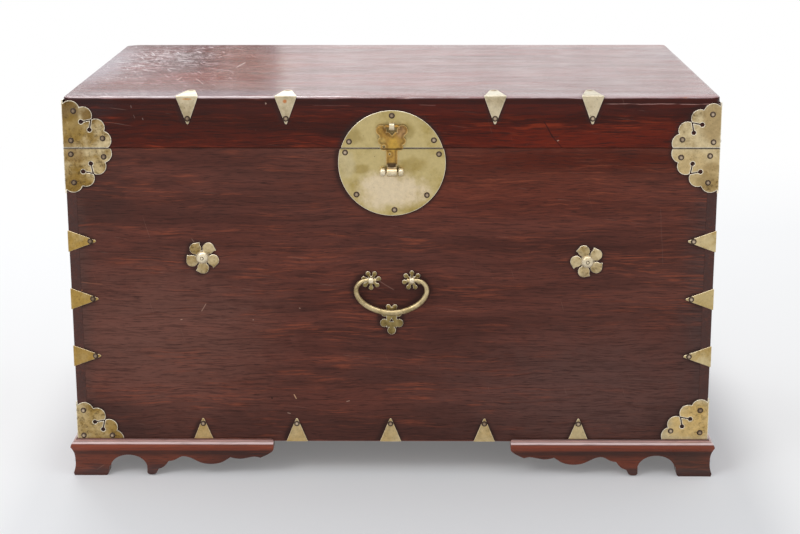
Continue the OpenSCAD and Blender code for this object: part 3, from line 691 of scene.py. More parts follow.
FRONT_MARKS = (
    front_mark(-279, 350, -262, 326, 0.9, (150, 118, 102), 0.5),
    front_mark(-19, 289, 4, 274, 1, (140, 104, 92), 0.5),
    front_mark(372, 397, 379, 308, 0.9, (120, 92, 84), 0.2),
    front_mark(-139.5, 121, -136, 114, 1, (226, 180, 140), 0.7),
    front_mark(-261, 255, -268, 243, 0.8, (190, 150, 130), 0.5),
    front_mark(-298, 231.5, -295, 232, 0.9, (206, 160, 136), 0.6),
    front_mark(-196, 231, -194, 231, 0.9, (206, 170, 150), 0.55),
    front_mark(-130.5, 249, -128.5, 248, 0.9, (200, 160, 140), 0.5),
    front_mark(-65, 110, -60, 111.5, 0.9, (200, 166, 146), 0.5),
    front_mark(-150, 93, -145, 91.5, 0.9, (200, 166, 146), 0.5),
    front_mark(-172, 115, -170, 114, 1.6, (24, 16, 16), 0.9),
    front_mark(-437, 286, -405, 283, 0.8, (176, 112, 84), 0.35),
    front_mark(-446, 275, -434, 274, 1.4, (206, 132, 92), 0.55),
    front_mark(-52, 425, -48, 425.5, 1, (214, 176, 156), 0.7),
)
LID_MARKS = (
    front_mark(208, 516, 222, 492, 1.3, (30, 12, 12), 0.8),
    front_mark(219, 496, 236, 476, 1.1, (30, 12, 12), 0.7),
    front_mark(288, 538.3, 452, 538.3, 0.8, (196, 150, 140), 0.6),
    front_mark(-108, 536.5, -56, 536.9, 0.7, (150, 104, 96), 0.3),
    front_mark(38, 537.2, 62, 537, 0.7, (160, 116, 106), 0.35),
    front_mark(-356, 537, -355, 533, 0.9, (170, 140, 130), 0.35),
    front_mark(-353, 524, -351, 519, 0.9, (190, 160, 150), 0.35),
    front_mark(-341, 520, -340, 517, 0.9, (190, 160, 150), 0.35),
)
TOP_PATCHES = (
    top_patch(-290, -80, 80, 90, (188, 76, 44), 0.55),
    top_patch(-350, -165, 80, 70, (150, 62, 44), 0.55),
    top_patch(-215, 10, 100, 250, (188, 112, 82), 0.55),
    top_patch(-262, 180, 70, 130, (190, 120, 94), 0.5),
    top_patch(-225, -185, 120, 80, (206, 160, 148), 0.5),
    top_patch(-325, 130, 52, 90, (96, 52, 44), 0.6),
    top_patch(-318, 10, 50, 80, (100, 58, 52), 0.5),
    # These three pale patches are partly dull, worn polish and partly a painted reflection of the
    # bright backdrop.
    top_patch(-456, 40, 70, 330, (216, 200, 208), 0.85),
    top_patch(-300, -250, 330, 52, (196, 176, 182), 0.6),
    top_patch(280, -260, 260, 30, (206, 186, 190), 0.5),
    top_patch(440, 150, 90, 130, (150, 112, 116), 0.6),
    front_patch(22, 548, 7, 6, (206, 120, 62), 0.9, 6),
    front_patch(402, 548, 7, 6, (206, 120, 62), 0.8, 6),
)
TOP_MARKS = (
    top_mark(151, 245, 240, 100, 1.1, (60, 36, 32), 0.8),
    top_mark(336, 101, 335, -75, 1.6, (96, 66, 70), 0.6),
    top_mark(376, 186, 400, 90, 1.6, (96, 66, 70), 0.6),
    top_mark(-241, 6, -231, 66, 1.8, (236, 216, 204), 0.7),
    top_mark(-313, -125, -310, -90, 1.6, (236, 216, 204), 0.6),
    top_mark(-288, -105, -270, -159, 1.6, (236, 216, 204), 0.6),
)
LID_PATCHES = (
    front_patch(-310, 510, 330, 60, (60, 24, 15), 0.62),
    front_patch(-408, 536, 48, 26, (56, 46, 48), 0.75),
)
FOOT_PATCHES = (
    (at(-340, face_mm - 4, 8), at(26, 30, 14), rgb(62, 42, 42), 0.7),
    (at(-425, face_mm - 4, 6), at(30, 30, 16), rgb(68, 42, 40), 0.6),
    (at(425, face_mm - 4, 20), at(54, 30, 34), rgb(66, 47, 38), 0.72),
    (at(-150, face_mm - 4, 30), at(60, 30, 20), rgb(74, 46, 36), 0.35),
    (at(300, face_mm - 4, 34), at(70, 30, 14), rgb(70, 46, 38), 0.4),
    front_patch(-167.5, 26, 4.5, 40, (40, 27, 25), 0.95, 40),
    front_patch(167.5, 26, 4.5, 40, (40, 27, 25), 0.95, 40),
)
FOOT_MARKS = (
    (at(-428, face_mm - 5.2, 5.5), at(-407, face_mm - 3.2, 19), 1.6 * MM, rgb(196, 158, 130), 0.6),
)

# Order of the axes: along the grain, across it, into the board
FRONTAL, LEVEL, SIDEWAYS = (X, Z, Y), (X, Y, Z), (Y, Z, X)
front_wood = wood("lacquered front board", FRONTAL, FRONT_LOOK, FRONT_PATCHES, FRONT_MARKS)
lid_wood = wood("lacquered lid rail", FRONTAL, LID_LOOK, LID_PATCHES, LID_MARKS)
top_wood = wood("worn top board", LEVEL, TOP_LOOK, TOP_PATCHES, TOP_MARKS)
side_wood = wood("lacquered side board", SIDEWAYS, SIDE_LOOK)
lid_side_wood = wood("lacquered lid side rail", SIDEWAYS, dict(LID_LOOK, seed=2.2))
foot_front_wood = wood("moulded foot along the front", FRONTAL, FOOT_LOOK, FOOT_PATCHES, FOOT_MARKS)
foot_side_wood = wood("moulded foot along the side", SIDEWAYS, FOOT_LOOK)
ROUGH_LOOK = dict(FRONT_LOOK, main=rgb(120, 86, 58), deep=rgb(96, 64, 42), rough=0.6)
rough_wood = wood("unpolished wood", LEVEL, ROUGH_LOOK)

# ---- brass finishes ----

SEAM_REACH = (1.7 * MM, 0.5 * MM)  # where the painted shade line at the lid's seam begins and is full


def brass(name, bright, dull, amount, rough, patches=(), lean=0.0, dirt_and_shade=rgb(62, 44, 26),
          rim_highlight_tone=rgb(250, 240, 218), rim_highlight=0.9, groove=0.0, spotted=0.3, metal=1.0,
          stained=0.4, mottled=1.0):
    """Old sheet brass. Bright and dull tones meet by the tarnish group, whose amount also grows
    towards the left by lean. Patches are (middle, reach, tone, strength); a few of them are painted
    shade and highlight round the hasp and on the straps. The rim of a plate gets a painted bright
    highlight, partly worn metal, with a dark groove of the strength groove inside it. A painted
    shade darkens the lid's seam, and dirt darkens a few specks, the stains as far as stained says,
    the spots as far as spotted says and the ring round a nail, whose darker flank and clean top
    partly paint the dome's shading. Mottled is the strength of the mottling. Dirty and shaded
    places are less metallic and rougher, and dents and pits give the bump."""
    material, tree, shader, place = start_material(name)
    across, up = axes_of(tree, place)[::2]
    leaning = times(tree, rise(tree, across, side_x, -side_x), lean)
    old = use(tree, tarnish_group, Place=place, Amount=plus(tree, leaning, amount))
    tone = tint(tree, old["Tarnish"], bright, dull)
    for middle, reach, patch_tone, strength in patches:
        edge = dict(Softness=0.55, Raggedness=0.9)
        patch = use(tree, patch_group, Place=place, Middle=middle, Reach=reach, **edge)[0]
        tone = lay(tree, tone, patch, patch_tone, strength)
    rim = point_value(tree, "rim")
    rim_wobble = times(tree, minus(tree, old["Fine"], 0.5), 0.9)
    # Painted bright highlight along each plate's rim, partly worn metal.
    rim_highlight_seen = rise(tree, plus(tree, rim, times(tree, rim_wobble, rim)), 0.25, 0.65)
    tone = lay(tree, tone, point_value(tree, "groove"), dirt_and_shade, groove)
    tone = lay(tree, tone, rim_highlight_seen, rim_highlight_tone, rim_highlight)
    # Painted shade in the seam between lid and body.
    seam = rise(tree, calc(tree, "ABSOLUTE", minus(tree, up, rim_z)), *SEAM_REACH)
    tone = lay(tree, tone, seam, dirt_and_shade, 0.75)
    specks = use(tree, fleck_group, Place=place, Scale=130.0, Share=0.045)[0]
    tone = lay(tree, tone, specks, dirt_and_shade, 0.7)
    tone = lay(tree, tone, old["Stains"], dirt_and_shade, stained)
    mottle = old["Mottle"]
    tone = tint(tree, mottled, tone, joined(tree, mottle, mottle, mottle), "MULTIPLY")
    shade_and_soiled = larger(tree, times(tree, old["Spots"], spotted), point_value(tree, "ring"))
    tone = tint(tree, shade_and_soiled, tone, dirt_and_shade)
    tree.links.new(tone, shader.inputs["Base Color"])
    shown_metal = minus(tree, metal, times(tree, shade_and_soiled, 0.6 * metal))
    tree.links.new(shown_metal, shader.inputs["Metallic"])
    rougher = plus(tree, rough, times(tree, old["Tarnish"], 0.16))
    rougher = plus(tree, rougher, times(tree, shade_and_soiled, 0.3))
    tree.links.new(rougher, shader.inputs["Roughness"])
    dents = noise(tree, place, (45, 45, 45), 2.0)
    pits = noise(tree, place, (420, 420, 420), 2.0)
    height = plus(tree, dents, times(tree, pits, 0.10))
    bump = node(tree, "ShaderNodeBump", {"Height": height, "Strength": 0.3, "Distance": 2.2 * MM})
    tree.links.new(bump.outputs[0], shader.inputs["Normal"])
    return material


PALE = rgb(212, 192, 150)
OLIVE = rgb(150, 120, 62)
plate_brass = brass(
    "sheet brass",
    PALE,
    OLIVE,
    0.30,
    0.34,
    lean=0.45,
    stained=0.6,
    mottled=0.8,
    patches=(
        front_patch(-446, 530, 30, 22, (112, 84, 42), 0.8, 40),
        front_patch(-414, 522, 16, 16, (120, 90, 42), 0.85, 40),
        front_patch(-434, 503, 26, 24, (150, 120, 58), 0.8, 40),
        front_patch(-446, 484, 18, 12, (134, 104, 54), 0.65, 40),
        front_patch(-408, 446, 20, 20, (206, 184, 138), 0.8, 40),
        front_patch(-440, 424, 24, 24, (144, 114, 60), 0.7, 40),
        front_patch(-436, 468, 18, 12, (144, 112, 62), 0.65, 40),
        front_patch(-415, 78, 50, 40, (184, 152, 90), 0.45, 60),
        front_patch(425, 80, 44, 34, (226, 190, 120), 0.7, 60),
        front_patch(440, 512, 20, 40, (160, 132, 84), 0.65, 60),
        front_patch(420, 440, 60, 40, (190, 158, 98), 0.45, 60),
        front_patch(434, 430, 20, 20, (128, 102, 58), 0.45, 60),
        front_patch(440, 452, 14, 8, (134, 106, 62), 0.4, 60),
    ),
)
body_strap_brass = brass(
    "body strap brass",
    rgb(208, 188, 142),
    rgb(176, 144, 78),
    0.3,
    0.36,
    lean=0.55,
    rim_highlight=0.4,
    stained=0.15,
    mottled=0.6,
    patches=(
        front_patch(-440, 180, 40, 30, (168, 134, 72), 0.7),
        front_patch(440, 262, 40, 30, (186, 160, 100), 0.5),
        front_patch(0, 64, 420, 26, (226, 202, 156), 0.45),
        front_patch(-240, 64, 80, 26, (214, 184, 132), 0.45),
    ),
)
strap_brass = brass(
    "lid strap brass",
    rgb(212, 196, 164),
    rgb(176, 158, 124),
    0.35,
    0.34,
    rim_highlight=0.7,
    stained=0.2,
    mottled=0.5,
    patches=(
        # Painted highlight on the strap leaves lying on the top.
        (at(0, face_mm + 24, 551), at(500, 40, 4), rgb(240, 234, 216), 0.8),
        front_patch(-145, 542.5, 3.6, 3.4, (196, 116, 60), 0.85),
        front_patch(-279, 545.5, 8, 1.6, (196, 136, 76), 0.7),
    ),
)
rosette_brass = brass("rosette brass", rgb(160, 140, 90), rgb(104, 84, 44), 0.5, 0.4, stained=0.6)
lock_brass = brass(
    "lock plate brass",
    rgb(200, 180, 126),
    rgb(176, 154, 92),
    0.42,
    0.33,
    spotted=0.12,
    stained=0.12,
    mottled=0.35,
    patches=(
        front_patch(-1, 419, 64, 33, (228, 208, 174), 0.95),
        front_patch(-42, 448, 15, 9, (160, 136, 72), 0.6),
        front_patch(30, 454, 24, 15, (164, 140, 78), 0.55),
        # The next four patches: painted shade on the plate round and behind the hasp, partly dirt;
        # the third is a pale painted reflection beside the hasp's neck.
        front_patch(1, 501, 26, 16, (112, 92, 60), 0.7),
        front_patch(1, 484, 22, 13, (112, 92, 60), 0.65),
        front_patch(1, 462, 12, 16, (196, 176, 148), 0.6),
        front_patch(1, 449, 19, 8, (74, 58, 40), 0.75),
        front_patch(-52, 494, 18, 16, (150, 126, 66), 0.5),
        front_patch(22, 500, 16, 14, (150, 128, 70), 0.5),
        front_patch(-62, 455, 16, 24, (206, 190, 150), 0.6),
    ),
)
polished_brass = brass(
    "polished brass", rgb(234, 218, 186), rgb(192, 170, 120), 0.2, 0.28, metal=0.5, stained=0.2
)
bail_brass = brass(
    "bail brass", rgb(204, 184, 140), rgb(146, 124, 74), 0.4, 0.34, metal=0.8, stained=0.7
)
hasp_brass = brass(
    "hasp brass",
    rgb(184, 142, 70),
    rgb(150, 108, 52),
    0.4,
    0.36,
    groove=0.45,
    rim_highlight_tone=rgb(232, 212, 160),
    rim_highlight=0.35,
    metal=0.85,
    patches=(
        front_patch(14, 500, 9, 12, (178, 138, 100), 0.6),
        front_patch(3, 482, 9, 14, (208, 166, 70), 0.6),
        front_patch(-14, 488, 8, 7, (206, 176, 104), 0.5),
        front_patch(1, 444.5, 15, 11, (234, 220, 194), 0.95),
        # Painted shadow in the crease between the neck and the tube.
        front_patch(1, 454.5, 11, 5, (66, 54, 46), 0.85),
    ),
)
nail_brass = brass(
    "nail brass",
    rgb(206, 184, 156),
    rgb(150, 124, 98),
    0.4,
    0.34,
    dirt_and_shade=rgb(64, 46, 32),
    metal=0.7,
    patches=(front_patch(-440, 400, 90, 300, (124, 102, 76), 0.75, 60),),
)

# ---- mesh helpers ----

MERGED = 0.002 * MM  # corners nearer than this are one point
LEVEL_STEP = 0.02 * MM  # faces nearer than this lie in one plane


def value_noise(u, v, seed):
    """Smooth random heights from -1 to 1: random values at whole numbers of u and v, blended
    between the four nearest with the weight t * t * (3 - 2t)."""
    table = np.random.default_rng(seed).uniform(-1, 1, (64, 64))
    iu, iv = np.floor(u).astype(int), np.floor(v).astype(int)
    fu, fv = u - iu, v - iv
    wu, wv = fu * fu * (3 - 2 * fu), fv * fv * (3 - 2 * fv)
    low = table[iu % 64, iv % 64] * (1 - wv) + table[iu % 64, (iv + 1) % 64] * wv
    high = table[(iu + 1) % 64, iv % 64] * (1 - wv) + table[(iu + 1) % 64, (iv + 1) % 64] * wv
    return low * (1 - wu) + high * wu


def add_piece(name, points, faces, material, body, slot, sharp=38, **values):
    """Makes the mesh object, outward faces, smooth up to the sharp angle, with any values given
    for each point, and lets it ride on its body."""
    mesh = bpy.data.meshes.new(name)
    mesh.from_pydata(np.asarray(points, float).reshape(-1, 3).tolist(), [], faces)
    for key, value in values.items():
        held = mesh.attributes.new(key, "FLOAT", "POINT")
        held.data.foreach_set("value", np.asarray(value, np.float32).ravel())
    mesh.polygons.foreach_set("use_smooth", np.ones(len(mesh.polygons), bool))
    mesh.set_sharp_from_angle(angle=math.radians(sharp))
    mesh.materials.append(material)
    piece = bpy.data.objects.new(name, mesh)
    bpy.context.scene.collection.objects.link(piece)
    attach(piece, body)
    return piece


def tube_faces(rows, columns, start=0, closed_rows=False):
    """Quads of a grid of rows, each a closed loop of columns, in the order that faces outward
    when the loop turns anticlockwise seen from the last row."""
    r = np.arange(rows if closed_rows else rows - 1)[:, None]
    c = np.arange(columns)[None, :]
    below, above = r * columns, (r + 1) % rows * columns
    after = (c + 1) % columns
    quads = np.stack([below + c, below + after, above + after, above + c], -1)
    return (quads.reshape(-1, 4) + start).tolist()


def capped_tube(rows, columns, start=0):
    """Faces of a tube, with one face over its first row and one over its last."""
    first = list(range(start, start + columns))
    last = list(range(start + (rows - 1) * columns, start + rows * columns))
    return tube_faces(rows, columns, start) + [first, last]


def outward(piece):
    """Recalculates the normals of a closed mesh so that they point out."""
    work = bmesh.new()
    work.from_mesh(piece.data)
    bmesh.ops.recalc_face_normals(work, faces=work.faces)
    work.to_mesh(piece.data)
    work.free()
    return piece


def frame_triangles(name):
    """Triangles of a frame node as an array (triangle, corner, axis)."""
    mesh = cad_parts[name].data
    places = np.empty(len(mesh.vertices) * 3)
    mesh.vertices.foreach_get("co", places)
    mesh.calc_loop_triangles()
    corners = np.empty(len(mesh.loop_triangles) * 3, np.int32)
    mesh.loop_triangles.foreach_get("vertices", corners)
    return places.reshape(-1, 3)[corners].reshape(-1, 3, 3)


def merged_corners(name):
    """Points of a frame node with equal corners merged, and each triangle's three of them."""
    triangles = frame_triangles(name).reshape(-1, 3)
    grid = np.round(triangles / MERGED).astype(np.int64)
    first, back = np.unique(grid, axis=0, return_index=True, return_inverse=True)[1:]
    return triangles[first], back.reshape(-1, 3)


def covered(spots, triangles):
    """True for each 2-D spot that lies in a triangle, on the same side of its three edges."""

    def side(p, q):
        """Which side of the line from p to q each spot lies on, by the sign."""
        run = q - p
        return run[:, 0] * (spots[:, None, 1] - p[:, 1]) - run[:, 1] * (spots[:, None, 0] - p[:, 0])

    a, b, c = triangles[:, 0], triangles[:, 1], triangles[:, 2]
    sides = np.stack([side(a, b), side(b, c), side(c, a)])
    return ((sides >= 0).all(0) | (sides <= 0).all(0)).any(1)


def border_of_fittings(rows, columns, axes, nodes, reach):
    """How near each spot of a regular grid is to a fitting, from 1 under it to 0 at reach.
    The cover of the fittings' triangles, 1 or 0 on the grid, is blurred by a bell curve along
    both axes, doubled and clipped."""
    spots = np.stack(np.meshgrid(rows, columns, indexing="ij"), -1)
    cover = np.zeros(spots.shape[:2])
    for name in nodes:
        triangles = frame_triangles(name)[:, :, axes]
        low, high = triangles.min((0, 1)), triangles.max((0, 1))
        near = ((spots >= low) & (spots <= high)).all(-1)
        if near.any():
            cover[near] = np.maximum(cover[near], covered(spots[near], triangles))
    for axis, lines in ((0, rows), (1, columns)):
        step = abs(lines[1] - lines[0])
        count = int(round(reach / step)) + 1
        offsets = np.arange(-count, count + 1)
        bell = np.exp(-0.5 * (offsets * step / (reach * 0.45)) ** 2)
        padded = np.pad(cover, [(count, count) if a == axis else (0, 0) for a in (0, 1)], "edge")
        cover = sum(
            w * np.take(padded, np.arange(len(lines)) + count + o, axis)
            for w, o in zip(bell / bell.sum(), offsets)
        )
    return np.clip(cover * 2, 0, 1)


# ---- boards ----

COARSE = 40 * MM  # cells of a board's hidden side


def spaced(low, high, step):
    """Evenly spaced values from low to high, about step apart."""
    return np.linspace(low, high, max(2, int(round((high - low) / step)) + 1))


def section_loop(wide, thick, radius, under, cell):
    """Closed loop round a board's section, as (across, deep) with the show face at deep 0, and
    the inward direction of each point. Straight runs and quarter arcs, of the given radius at
    the show face and the radius under at the back."""
    face = spaced(radius, wide - radius, cell)
    back = spaced(wide - under, under, -COARSE)
    edge = spaced(radius, thick - under, min(cell, thick / 8))
    turn = np.radians([15, 30, 45, 60, 75])
    ahead = np.stack([np.sin(turn), -np.cos(turn)], -1)
    runs = []

    def straight(across, deep, inward):
        """One straight run."""
        across, deep = np.broadcast_arrays(across, deep)
        points = np.stack([across, deep], -1)
        runs.append((points, np.broadcast_to(np.array(inward, float), points.shape)))

    def corner(origin, u, v, size):
        """One quarter arc from the direction u to the direction v."""
        u, v = np.array(u, float), np.array(v, float)
        arc = np.stack([np.sin(turn), 1 - np.cos(turn)], -1) * size
        points = np.array(origin) + arc[:, :1] * u + arc[:, 1:] * v
        out = ahead[:, :1] * u + ahead[:, 1:] * v
        runs.append((points, -out))

    straight(face, 0.0, (0, 1))
    corner((wide - radius, 0), (1, 0), (0, 1), radius)
    straight(wide, edge, (-1, 0))
    corner((wide, thick - under), (0, 1), (-1, 0), under)
    straight(back, thick, (0, -1))
    corner((under, thick), (-1, 0), (0, -1), under)
    straight(0.0, edge[::-1], (1, 0))
    corner((0, radius), (0, -1), (1, 0), radius)
    points, inward = zip(*runs)
    return np.concatenate(points), np.concatenate(inward)


def curve_in(from_end, radius):
    """How far a corner of this radius lies inside the square corner, from_end off the end:
    radius - sqrt(radius^2 - (radius - from_end)^2), and 0 beyond the radius."""
    left = np.clip(radius - from_end, 0, radius)
    return radius - np.sqrt(radius**2 - left**2)


NARROWED = 30 * MM  # a plan corner moves the points within this of a board's long edges
SUNK = 4 * MM  # the slow hollows of the show face fade out over this depth
UNPOLISHED = 4 * MM  # bare wood starts this far in from the long edges of the hidden side
BORDER_REACH = 11 * MM  # width of the dull border round a fitting


def board(name, axes, show, material, body, cell=3.0, radius=1.2, under=0.3, corner=0.0,
          nodes=(), sag=0.25, lift=0.0, relief=None, worn=None, strip=False,
          ends=False, rub=("low", "high"), rub_reach=2.8, edge_material=None):
    """A board as a closed section carried along its length, with rounded arrises and ends.

    axes = (along, across, deep). show is -1 or 1, the side of the deep axis that shows.
    Near each end the section shrinks by radius - sqrt(radius^2 - (radius - e)^2) at the
    distance e from the end, and a plan corner adds the same on the across axis. The show face
    sinks by a slow noise of up to sag. border, arris, strip and bare tell the finish where
    fittings, rubbed edges (on the top board also its painted highlight), the front edge and the
    unpolished inside are.
    """
    along, across, deep = axes
    low, high = (np.array(c, float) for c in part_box(name))
    low[across] += lift
    under = under * MM
    cell, radius, corner = cell * MM, radius * MM, corner * MM
    wide = high[across] - low[across]
    thick = high[deep] - low[deep]
    loop, inward = section_loop(wide, thick, radius, under, cell)
    longest = max(radius, corner)
    end = longest * (1 - np.cos(np.radians(np.linspace(0, 90, 6))))
    middle = spaced(low[along] + longest, high[along] - longest, cell)[1:-1]
    stations = np.concatenate([low[along] + end, middle, high[along] - end[::-1]])
    from_end = np.minimum(stations - low[along], high[along] - stations)
    left = np.clip(radius - from_end, 0, radius * 0.97)
    inset = np.minimum(radius - np.sqrt(radius**2 - left**2), thick * 0.45)
    pinch = curve_in(from_end, corner)
    section = loop[None] + inward[None] * inset[:, None, None]
    toward = np.where(loop[:, 0] > wide / 2, -1.0, 1.0)
    near_edge = np.minimum(loop[:, 0], wide - loop[:, 0]) < NARROWED
    section[:, :, 0] += pinch[:, None] * toward * near_edge
    u = np.broadcast_to(stations[:, None], section.shape[:2])
    s, d = section[:, :, 0], section[:, :, 1]
    sink = (value_noise(u / 0.09, s / 0.05, 3) * 0.5 + 0.5) * sag * MM
    fade = np.clip(1 - d / SUNK, 0, 1)
    d = d + sink * fade
    to_arris = np.minimum(s + (0 if "low" in rub else 1), wide - s + (0 if "high" in rub else 1))
    to_arris = to_arris + np.maximum(loop[None, :, 1] - radius * 0.5, 0) * 2.5
    if ends:
        to_arris = np.minimum(to_arris, from_end[:, None])
    to_arris = np.where(loop[None, :, 1] < thick * 0.5, to_arris, 1.0)
    if relief:
        s, d = relief(u, s, d, wide)
    points = np.empty(section.shape[:2] + (3,))
    points[:, :, along] = u
    points[:, :, across] = low[across] + s
    points[:, :, deep] = low[deep] + d if show < 0 else high[deep] - d
    bared = (loop[:, 0] > UNPOLISHED) & (loop[:, 0] < wide - UNPOLISHED)
    bared &= loop[:, 1] > thick * 0.8
    border = np.zeros(section.shape[:2])
    shown = np.flatnonzero((loop[:, 1] == 0) & (loop[:, 0] >= radius * 0.99))
    lines = spaced(low[along], high[along], cell)
    if nodes:
        spots = low[across] + loop[shown, 0]
        near = border_of_fittings(lines, spots, [along, across], nodes, BORDER_REACH)
        rows = np.clip(np.searchsorted(lines, stations), 0, len(lines) - 1)
        border[:, shown] = near[rows]
    values = dict(
        border=border,
        arris=np.exp(-to_arris / (rub_reach * MM)),
        bare=np.broadcast_to(bared, border.shape),
        worn=worn(points) * (loop[:, 1] < radius * 0.4) if worn else np.zeros(border.shape),
        strip=np.broadcast_to((loop[:, 0] < radius * 1.01) & strip, border.shape),
    )
    rows, columns = border.shape
    faces = capped_tube(rows, columns)
    piece = add_piece(name + "_dressed", points, faces, material, body, "lacquered_wood", **values)
    if edge_material:
        piece.data.materials.append(edge_material)
        edges = np.zeros((rows - 1, columns), int)
        edges[:, (loop[:, 1] > radius * 0.4) & (loop[:, 1] < thick - under * 0.5)] = 1
        piece.data.polygons.foreach_set("material_index", np.append(edges.ravel(), [1, 1]))
    outward(piece)
    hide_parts(name)
    return piece


FRONT_FITTINGS = (
    "lower_lock_plate", "body_corner_upper_left", "body_corner_upper_right",
    "body_corner_lower_left", "body_corner_lower_right", "side_straps_left", "side_straps_right",
    "bottom_straps", "bail_rosette_left", "bail_rosette_right", "bail_back_plate",
    "bail_handle", "stud_rosette_left", "stud_rosette_right",
)
LID_FITTINGS = ("upper_lock_plate", "lid_corner_left", "lid_corner_right", "lid_straps")


TOP_CORNER = 13.0  # millimetres, as the next one
WORN_CORNER = 26.0
CHIPS = 9


def worn_front_edge(u, s, d, wide):
    """Rubbed front arris of the top board. The surface rolls off by 1.1 mm over the last 22 mm.
    Within 9 mm of the arris it drops further by a slow and a fine noise along its length, and
    a few chips, each a bell in length, bite deeper. The last chip has a set place. The back
    left corner is worn from the radius TOP_CORNER to WORN_CORNER, fading out over 60 mm."""
    near = np.clip(1 - s / (9 * MM), 0, 1) ** 2
    roll = 1.1 * MM * np.clip(1 - s / (22 * MM), 0, 1) ** 2
    slow = 0.5 + 0.5 * value_noise(u / 0.045, u * 0, 11)
    fine = 0.5 + 0.5 * value_noise(u / 0.008, u * 0, 12)
    rng = np.random.default_rng(5)
    middles = np.append(rng.uniform(-0.43, 0.43, CHIPS), 0.0215)
    spans = np.append(rng.uniform(0.003, 0.010, CHIPS), 0.006)
    depths = np.append(rng.uniform(0.4, 1.2, CHIPS), 1.3) * MM
    chips = (depths * np.exp(-(((u[..., None] - middles) / spans) ** 2))).max(-1)
    upper = np.clip(1 - d / (6.2 * MM), 0, 1)
    drop = ((slow * 0.7 + fine * 0.45) * MM + chips) * near * upper
    from_end = u - top_lo[X]
    pulled = curve_in(from_end, WORN_CORNER * MM) - curve_in(from_end, TOP_CORNER * MM)
    s = s - pulled * np.clip((s - wide + 0.06) / 0.06, 0, 1)
    return s + drop * 0.6, d + drop * 0.9 + roll * upper


def worn_left_of_top(points):
    """Where the top is scratched most. A bell of 0.9 round (-0.36, 0.11) stands over patches of
    up to 0.4 by a slow noise. All of it fades out from x = -0.27 to x = -0.17, and towards the
    front from 26 mm to 6 mm off the arris."""
    x, y = points[:, :, X], points[:, :, Y]
    patchy = 0.5 + 0.5 * value_noise(x / 0.05, y / 0.05, 21)
    bell = np.exp(-(((x + 0.36) / 0.075) ** 2) - ((y - 0.11) / 0.14) ** 2)
    inside = np.clip((-0.17 - x) / 0.10, 0, 1) * np.clip((y - front_y - 0.006) / 0.02, 0, 1)
    return inside * (0.4 * patchy + 0.9 * bell)


board("front_board", (X, Z, Y), -1, front_wood, "chest", cell=2.8, nodes=FRONT_FITTINGS,
      lift=0.3 * MM, radius=0.4, rub=("low",))
board("lid_front_rail", (X, Z, Y), -1, lid_wood, "lid", cell=2.6, nodes=LID_FITTINGS, radius=0.1,
      rub=("low",))
board("lid_top_board", (X, Y, Z), 1, top_wood, "lid", cell=3.2, radius=3.6, under=0.05,
      corner=TOP_CORNER, nodes=("lid_straps",), sag=0.35, relief=worn_front_edge,
      worn=worn_left_of_top, ends=True, rub_reach=9.0, edge_material=lid_wood)
SIDE_FITTINGS = {
    "left": ("body_corner_upper_left", "body_corner_lower_left", "side_straps_left"),
    "right": ("body_corner_upper_right", "body_corner_lower_right", "side_straps_right"),
}
for side, show in (("left", -1), ("right", 1)):
    board(f"{side}_side_board", (Z, Y, X), show, side_wood, "chest", cell=3.6,
          nodes=SIDE_FITTINGS[side], strip=True)
    board(f"lid_{side}_rail", (Z, Y, X), show, lid_side_wood, "lid", cell=3.6,
          nodes=(f"lid_corner_{side}",), strip=True, radius=0.8, rub=())
board("back_board", (X, Z, Y), 1, front_wood, "chest", cell=8.0)
board("lid_back_rail", (X, Z, Y), 1, lid_wood, "lid", cell=6.0, radius=1.0)

# ---- softened copies of the frame's cut plates and feet ----


def merged_solid(source):
    """Points, faces and face normals of a frame node, with equal corners merged and the
    triangles of each flat face joined."""
    places, corners = merged_corners(source)
    sound = (corners[:, 0] != corners[:, 1]) & (corners[:, 1] != corners[:, 2])
    sound &= corners[:, 0] != corners[:, 2]
    mesh = bpy.data.meshes.new("merged solid")
    mesh.from_pydata(places.tolist(), [], corners[sound].tolist())
    work = bmesh.new()
    work.from_mesh(mesh)
    bmesh.ops.dissolve_limit(
        work, angle_limit=math.radians(1), verts=work.verts, edges=work.edges, delimit={"NORMAL"}
    )
    bmesh.ops.delete(work, geom=[v for v in work.verts if not v.link_faces], context="VERTS")
    work.to_mesh(mesh)
    work.free()
    points = np.array([v.co for v in mesh.vertices])
    faces = [list(f.vertices) for f in mesh.polygons]
    normals = np.array([f.normal for f in mesh.polygons])
    bpy.data.meshes.remove(mesh)
    return points, faces, normals


def to_outline(spots, ends):
    """Distance from each spot to the nearest edge (start, end) of a flat outline."""
    start, run = ends[:, 0], ends[:, 1] - ends[:, 0]
    offset = spots[:, None] - start[None]
    share = (offset * run).sum(-1) / np.maximum((run * run).sum(-1), 1e-12)
    near = start + np.clip(share, 0, 1)[..., None] * run
    return np.sqrt(((spots[:, None] - near) ** 2).sum(-1)).min(1)


